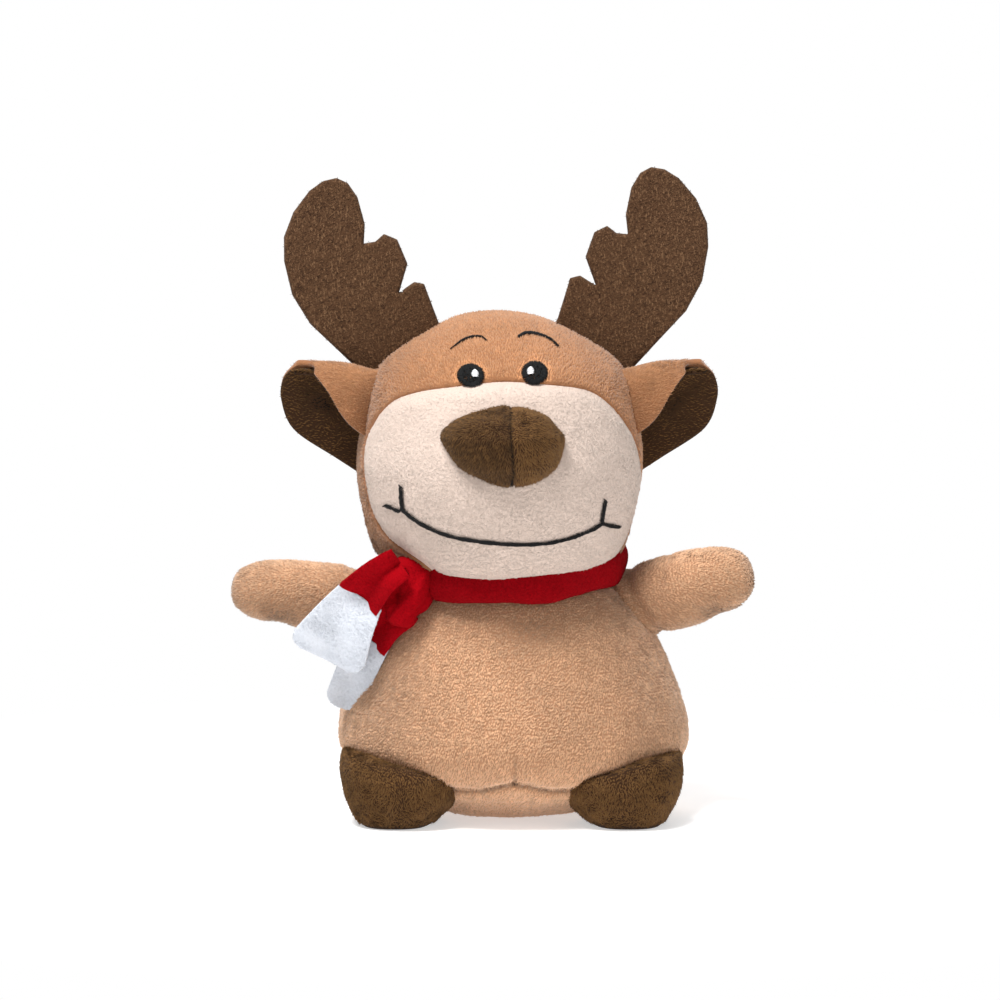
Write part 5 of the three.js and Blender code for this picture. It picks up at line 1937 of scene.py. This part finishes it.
@dataclass
class Strip:
    """One run of the scarf's strip, with its folds, its turned hem and its nap."""

    name: str
    slot: Finish
    start: np.ndarray
    end: np.ndarray
    widths: tuple[float, float]
    rounding: float = 0.0
    tone: float = -0.3
    hem: float = 0.8
    ply: float = 1.0
    rows: int = 60
    columns: int = 56

    def __post_init__(self) -> None:
        """Bends the strip's middle line forwards."""
        bow = 1.5 if self.rounding else 2.4
        self.curve = Curve([self.start, (self.start + self.end) / 2 + [0, -bow, bow / 2], self.end])

    def locate(self, u: np.ndarray, v: np.ndarray) -> Points:
        """Points of the strip with one long fold and smaller gathers.

        Args:
            u: Share of the way down the strip.
            v: Share of the way across it.

        Returns:
            The points in the body's frame.
        """
        way = self.curve.along(u)
        across = unit(np.stack([-way[..., 2], 0 * u, way[..., 0]], -1))
        toward = unit(np.cross(across, way))
        width = self.widths[0] + (self.widths[1] - self.widths[0]) * u
        if self.rounding:
            fold = 0.7 * np.cos(2 * math.pi * (v - 0.5)) + 0.25 * np.sin(7 * v + 2 * u)
        else:
            fold = np.cos(2 * math.pi * (v - 0.5)) + 0.3 * np.sin(11 * v + 2) * (1 - smooth(u, 0.1, 0.6))
        return self.curve.at(u) + across * ((v - 0.5) * width)[..., None] + toward * fold[..., None]

    def surface(self, relief: Field, inward: bool = False) -> Weave:
        """The strip's surface, raised by a relief on its front or on its back."""
        return Weave(self.locate, self.rows, self.columns, wraps=False, inward=inward, relief=relief)

    def cut(self, margin: float) -> np.ndarray:
        """The cells inside the strip's outline, which has round corners where it ends.

        Args:
            margin: How far inside its edge they have to lie.

        Returns:
            One truth value for each cell.
        """
        rows, columns = np.arange(self.rows) + 0.5, np.arange(self.columns) + 0.5
        u, v = np.meshgrid(rows / self.rows, columns / self.columns, indexing="ij")
        if not self.rounding:
            return u > 0
        along, side = (1 - u) * self.curve.length, np.minimum(v, 1 - v) * self.widths[1]
        reach = self.rounding + margin
        corner = (along < reach) & (side < reach) & (np.hypot(reach - along, reach - side) > self.rounding)
        return (np.minimum(along, side) > margin) & ~corner

    def build(self, body: str, hinge: np.ndarray, rests: str) -> None:
        """Builds the strip's pieces.

        Args:
            body: Not used.
            hinge: The place of the strip's hinge, in metres.
            rests: Not used.
        """
        upper = self.surface(lambda p: waves(p, 7, 120) * 0.12 + self.ply)
        lower = self.surface(lambda p: waves(p, 7, 120) * 0.12)
        behind = self.surface(lambda p: 0 * p[..., 0] + self.ply, inward=True)
        whole, inner = self.cut(0), self.cut(self.hem)
        front = dress(upper.shell(f"{self.name}_cloth", inner, self.ply), self.slot, [self.name])
        under = dress(lower.shell(f"{self.name}_hem", whole, self.ply), self.slot)
        for cloth in (front, under):
            toned(cloth, self.tone)
        fuzz = [dress(fleece_nap(seed, self.tone).grow_on(skin, f"{self.name}_{way}_fuzz", keep, loose), self.slot)
                for seed, skin, way, keep in ((121, upper, "front", inner), (122, behind, "back", whole))]
        heading = unit(self.curve.at(np.array(0.3)) - self.curve.at(np.array(0.0)))
        bend((front, under, *fuzz), hinge - heading * MM, hinge + heading * 8 * MM)
        size = (max(sum(self.widths) / 2, LEAST_SIDE) * MM, max(self.curve.length, LEAST_SIDE) * MM)
        LOG.info("%s is cut %.0f by %.0f mm", self.name, size[0] / MM, size[1] / MM)


@dataclass
class Scarf:
    """The fleece strip: a band round the neck, a gathered crossing and two hanging tails with pale ends."""

    band_x: float = 2.42
    band_y: float = -1.5
    band_half_width: float = 29.0
    band_half_depth: float = 27.5
    band_thickness: float = 4.5
    band_height: float = 6.0
    # painted shadow of the chin, darkening the band's cloth and nap evenly all round
    band_tone: float = -2.1
    level: float = 69.3
    foot: tuple[float, float, float] = (-23.68, -23.925, 54.1)
    crossing_half_width: float = 7.0
    crossing_half_depth: float = 5.6
    crossing_height: float = 19.0
    crossing_lean: float = math.radians(6)

    def ring(self, u: np.ndarray, v: np.ndarray) -> Points:
        """Points of the band: an oval ring with soft folds along it and creases across it.

        Args:
            u: Share of the way round the neck.
            v: Share of the way round the band's own section.

        Returns:
            The points in the body's frame.
        """
        turn, angle = 2 * math.pi * u, 2 * math.pi * v
        out = np.stack([np.cos(turn), np.sin(turn), 0 * turn], -1)
        across, deep = self.band_half_width * np.cos(turn), self.band_half_depth * np.sin(turn)
        front = smooth(-np.sin(turn), 0.2, 0.8)
        aside = smooth(np.abs(np.cos(turn)), 0.35, 0.9)
        fan = bell((across + 17) / 8) * front
        level = self.level + 2.5 * np.sin(turn) + front * (2 * aside - 0.6) + 0.8 * fan
        middle = np.stack([self.band_x + across, deep + self.band_y, level], -1)
        thick = self.band_thickness + 0.3 * np.sin(3 * angle + turn) + 0.25 * np.sin(9 * turn)
        tall = self.band_height + 0.35 * np.sin(5 * turn + 1) - 0.6 * front * (1 - aside) + 1.5 * fan
        rise = np.array([0, 0, 1.0]) * (tall * np.sin(angle))[..., None]
        return middle + out * (thick * np.cos(angle))[..., None] + rise

    def pleats(self, p: Points) -> np.ndarray:
        """Slanting pleats of the crossing, which sinks into the band on its right.

        Args:
            p: Points in the crossing's own frame.

        Returns:
            How far each point is raised.
        """
        x, y, z = axes(p)
        slant = x * 0.8 - (z - 9) * 0.55 + waves(p, 14, 115)
        fold = 0.42 * np.sin(slant * 0.95 + 0.6) + 0.12 * np.sin(slant * 2.3 + 1)
        hollow = np.exp(-(((x + 4.5) ** 2 + (z - 9) ** 2) / 6.0)) * (y < 0)
        ends = smooth(z, 0.5, 4) * smooth(-z, -18.5, -15)
        merged = 0.7 * smooth(x, 1.5, 6) + 2.6 * smooth(x, 0, 5) * smooth(-z, -9, -1)
        return fold * ends - merged - 2.2 * hollow + waves(p, 6, 114) * 0.12

    @staticmethod
    def gathered(weave: Weave, name: str, node: str, nap: Pile, flat: tuple[float, float],
                 rests: str) -> bpy.types.Object:
        """A closed fold of the strip with its nap, riding the torso.

        Args:
            weave: Its surface.
            name: Start of the two pieces' names.
            node: The frame node that it stands for.
            nap: Its nap.
            flat: Not used.
            rests: Not used.

        Returns:
            The cloth.
        """
        cloth = dress(weave.shell(f"{name}_cloth", weave.every, 0), Finish.RED_FLEECE, [node])
        fuzz = dress(nap.grow_on(weave, f"{name}_fuzz", weave.every, loose), Finish.RED_FLEECE)
        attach(cloth, "torso")
        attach(fuzz, "torso")
        return cloth

    def build(self) -> None:
        """Builds every piece of the scarf."""
        weave = Weave(self.ring, 220, 44, relief=lambda p: waves(p, 9, 111) * 0.25, inward=True)
        # the band's nap and its cloth below carry the painted shadow of the chin
        nap = fleece_nap(112, self.band_tone)
        band = self.gathered(weave, "scarf_band", "scarf_neck_band", nap, (0.021, 0.178), "torso_front_panel")
        toned(band, self.band_tone)
        foot = np.array(self.foot)
        place = np.array(Matrix.Rotation(self.crossing_lean, 4, "Y"))
        place[:3, 3] = foot + SHIFT
        form = StuffedForm(CROSSING_OUTLINE, self.crossing_half_width, self.crossing_height, self.crossing_half_depth,
                           self.crossing_half_depth)
        weave = Weave(form.locate, 90, 150, relief=self.pleats, place=place)
        self.gathered(weave, "scarf_crossing", "scarf_crossing", fleece_nap(113), (0.021, 0.022), "scarf_neck_band")
        runs = (
            ("front", "lift", ((-1.4, -7, 18.1), (-12.2, -2.4, 8.2), (-22, 1.8, -8.8)), (8.5, 13, 23.5), 5.5, -0.3,
             "left_arm_cover"),
            # the rear pale end's tone of -1.3 is painted shadow, where the front end shades it
            ("rear", "swing", ((-1.0, 0.4, 4.8), (-9.8, 4.2, -4.4), (-17.6, 12.2, -23.6)), (10, 11, 10.5), 5.0, -1.3,
             "torso_front_panel"),
        )
        for way, motion, places, widths, rounding, tone, rests in runs:
            start, seam, tip = (foot + np.array(offset) for offset in places)
            pale = seam - unit(tip - seam) * 0.3
            body, hinge = f"scarf_{way}", HINGES[f"scarf_{way}_{motion}"]
            Strip(f"{body}_tail", Finish.RED_FLEECE, start, seam, widths[:2]).build(body, hinge, rests)
            Strip(f"{body}_end", Finish.PALE_FLEECE, pale, tip, widths[1:], rounding, tone).build(body, hinge, rests)


@dataclass
class Studio:
    """A white table under soft light, seen a little from above through a long lens."""

    aim: tuple[float, float, float] = (0.00153, 0.0, 0.0864)
    elevation: float = math.radians(6)
    distance: float = 1.5
    ground: float = 3000.0
    lamps: tuple[tuple[str, tuple[float, float, float], float, float], ...] = (
        ("key", (-0.3, -0.45, 1.15), 0.4, 19.5), ("fill", (0.7, -0.6, 0.35), 0.6, 1.5),
        ("rim", (0.1, 0.6, 0.8), 0.6, 3.5))

    def lamp(self, name: str, place: tuple[float, float, float], size: float, power: float) -> None:
        """Adds a square soft light that faces the toy.

        Args:
            name: Its name.
            place: Where it stands, in metres.
            size: Its side, in metres.
            power: Its power, in watts.
        """
        data = bpy.data.lights.new(name, "AREA")
        data.size, data.energy = size, power
        lamp = bpy.data.objects.new(name, data)
        lamp.location = place
        lamp.rotation_euler = (Vector(self.aim) - Vector(place)).to_track_quat("-Z", "Y").to_euler()
        bpy.context.scene.collection.objects.link(lamp)

    def floor(self) -> None:
        """The white ground, which keeps the toy's shadow."""
        u, v = np.meshgrid(*[np.linspace(-self.ground, self.ground, 3)] * 2, indexing="ij")
        quads = np.array([[0, 3, 4, 1], [1, 4, 5, 2], [3, 6, 7, 4], [4, 7, 8, 5]])
        plane = mesh_object("floor", np.stack([u, v, 0 * u - 0.05], -1).reshape(-1, 3), quads)
        s = Shader("white_ground")
        seen = s.out("ShaderNodeLightPath", {}, {}, "Is Camera Ray")
        away = s.out("ShaderNodeVectorMath", {"operation": "LENGTH"}, {0: s.place()}, "Value").above(0.1, 0.24)
        s.finish({"Base Color": s.mixed(seen * away, (0.75, 0.75, 0.75, 1), (0, 0, 0, 1)), "Roughness": 1.0,
                  "Specular IOR Level": 0.0, "Emission Strength": 1.0,
                  "Emission Color": s.scaled((1, 1, 1, 1), seen * (away * 0.5 + 0.5) + (1 - seen) * 0.4)})
        plane.data.materials.append(s.material)
        plane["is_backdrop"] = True

    def camera(self) -> None:
        """The camera, on a long lens."""
        data = bpy.data.cameras.new("camera")
        data.lens, data.sensor_width, data.clip_end = 200, 36, 20
        camera = bpy.data.objects.new("camera", data)
        way = Vector((0, -math.cos(self.elevation), math.sin(self.elevation)))
        camera.location = Vector(self.aim) + way * self.distance
        camera.rotation_euler = (-way).to_track_quat("-Z", "Y").to_euler()
        bpy.context.scene.collection.objects.link(camera)
        bpy.context.scene.camera = camera

    def world(self) -> None:
        """The white surroundings, which light the toy less brightly than they look."""
        world = bpy.data.worlds.new("white_world")
        world.use_nodes = True
        bpy.context.scene.world = world
        tree = world.node_tree
        back, path = tree.nodes["Background"], tree.nodes.new("ShaderNodeLightPath")
        mix = tree.nodes.new("ShaderNodeMapRange")
        mix.inputs[3].default_value, mix.inputs[4].default_value = 0.33, 1.0
        tree.links.new(path.outputs["Is Camera Ray"], mix.inputs[0])
        tree.links.new(mix.outputs[0], back.inputs["Strength"])
        back.inputs["Color"].default_value = (1, 1, 1, 1)

    def build(self) -> None:
        """Sets the camera, the lamps, the ground and the world."""
        bpy.context.scene.view_settings.view_transform = "Standard"
        self.camera()
        for lamp in self.lamps:
            self.lamp(*lamp)
        self.floor()
        self.world()


def main() -> None:
    """Builds the toy and its setting."""
    logging.basicConfig(level=logging.INFO, format="%(name)s: %(message)s")
    Torso().build()
    Head().build()
    Nose().build()
    Arm(Side.LEFT, length=42, lift=7, forward=0, half=9.0).build()
    Arm(Side.RIGHT, length=37, lift=17, forward=20, half=10.0).build()
    for side in Side:
        Foot(side).build()
        Ear(side).build()
        Antler(side).build()
    Embroidery().build()
    Scarf().build()
    Studio().build()
    plain = lambda pair: [list(map(float, corner)) for corner in pair]
    {"frame": plain(CAD_BOUNDS), "final": plain(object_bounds())}


if __name__ == "__main__":
    main()
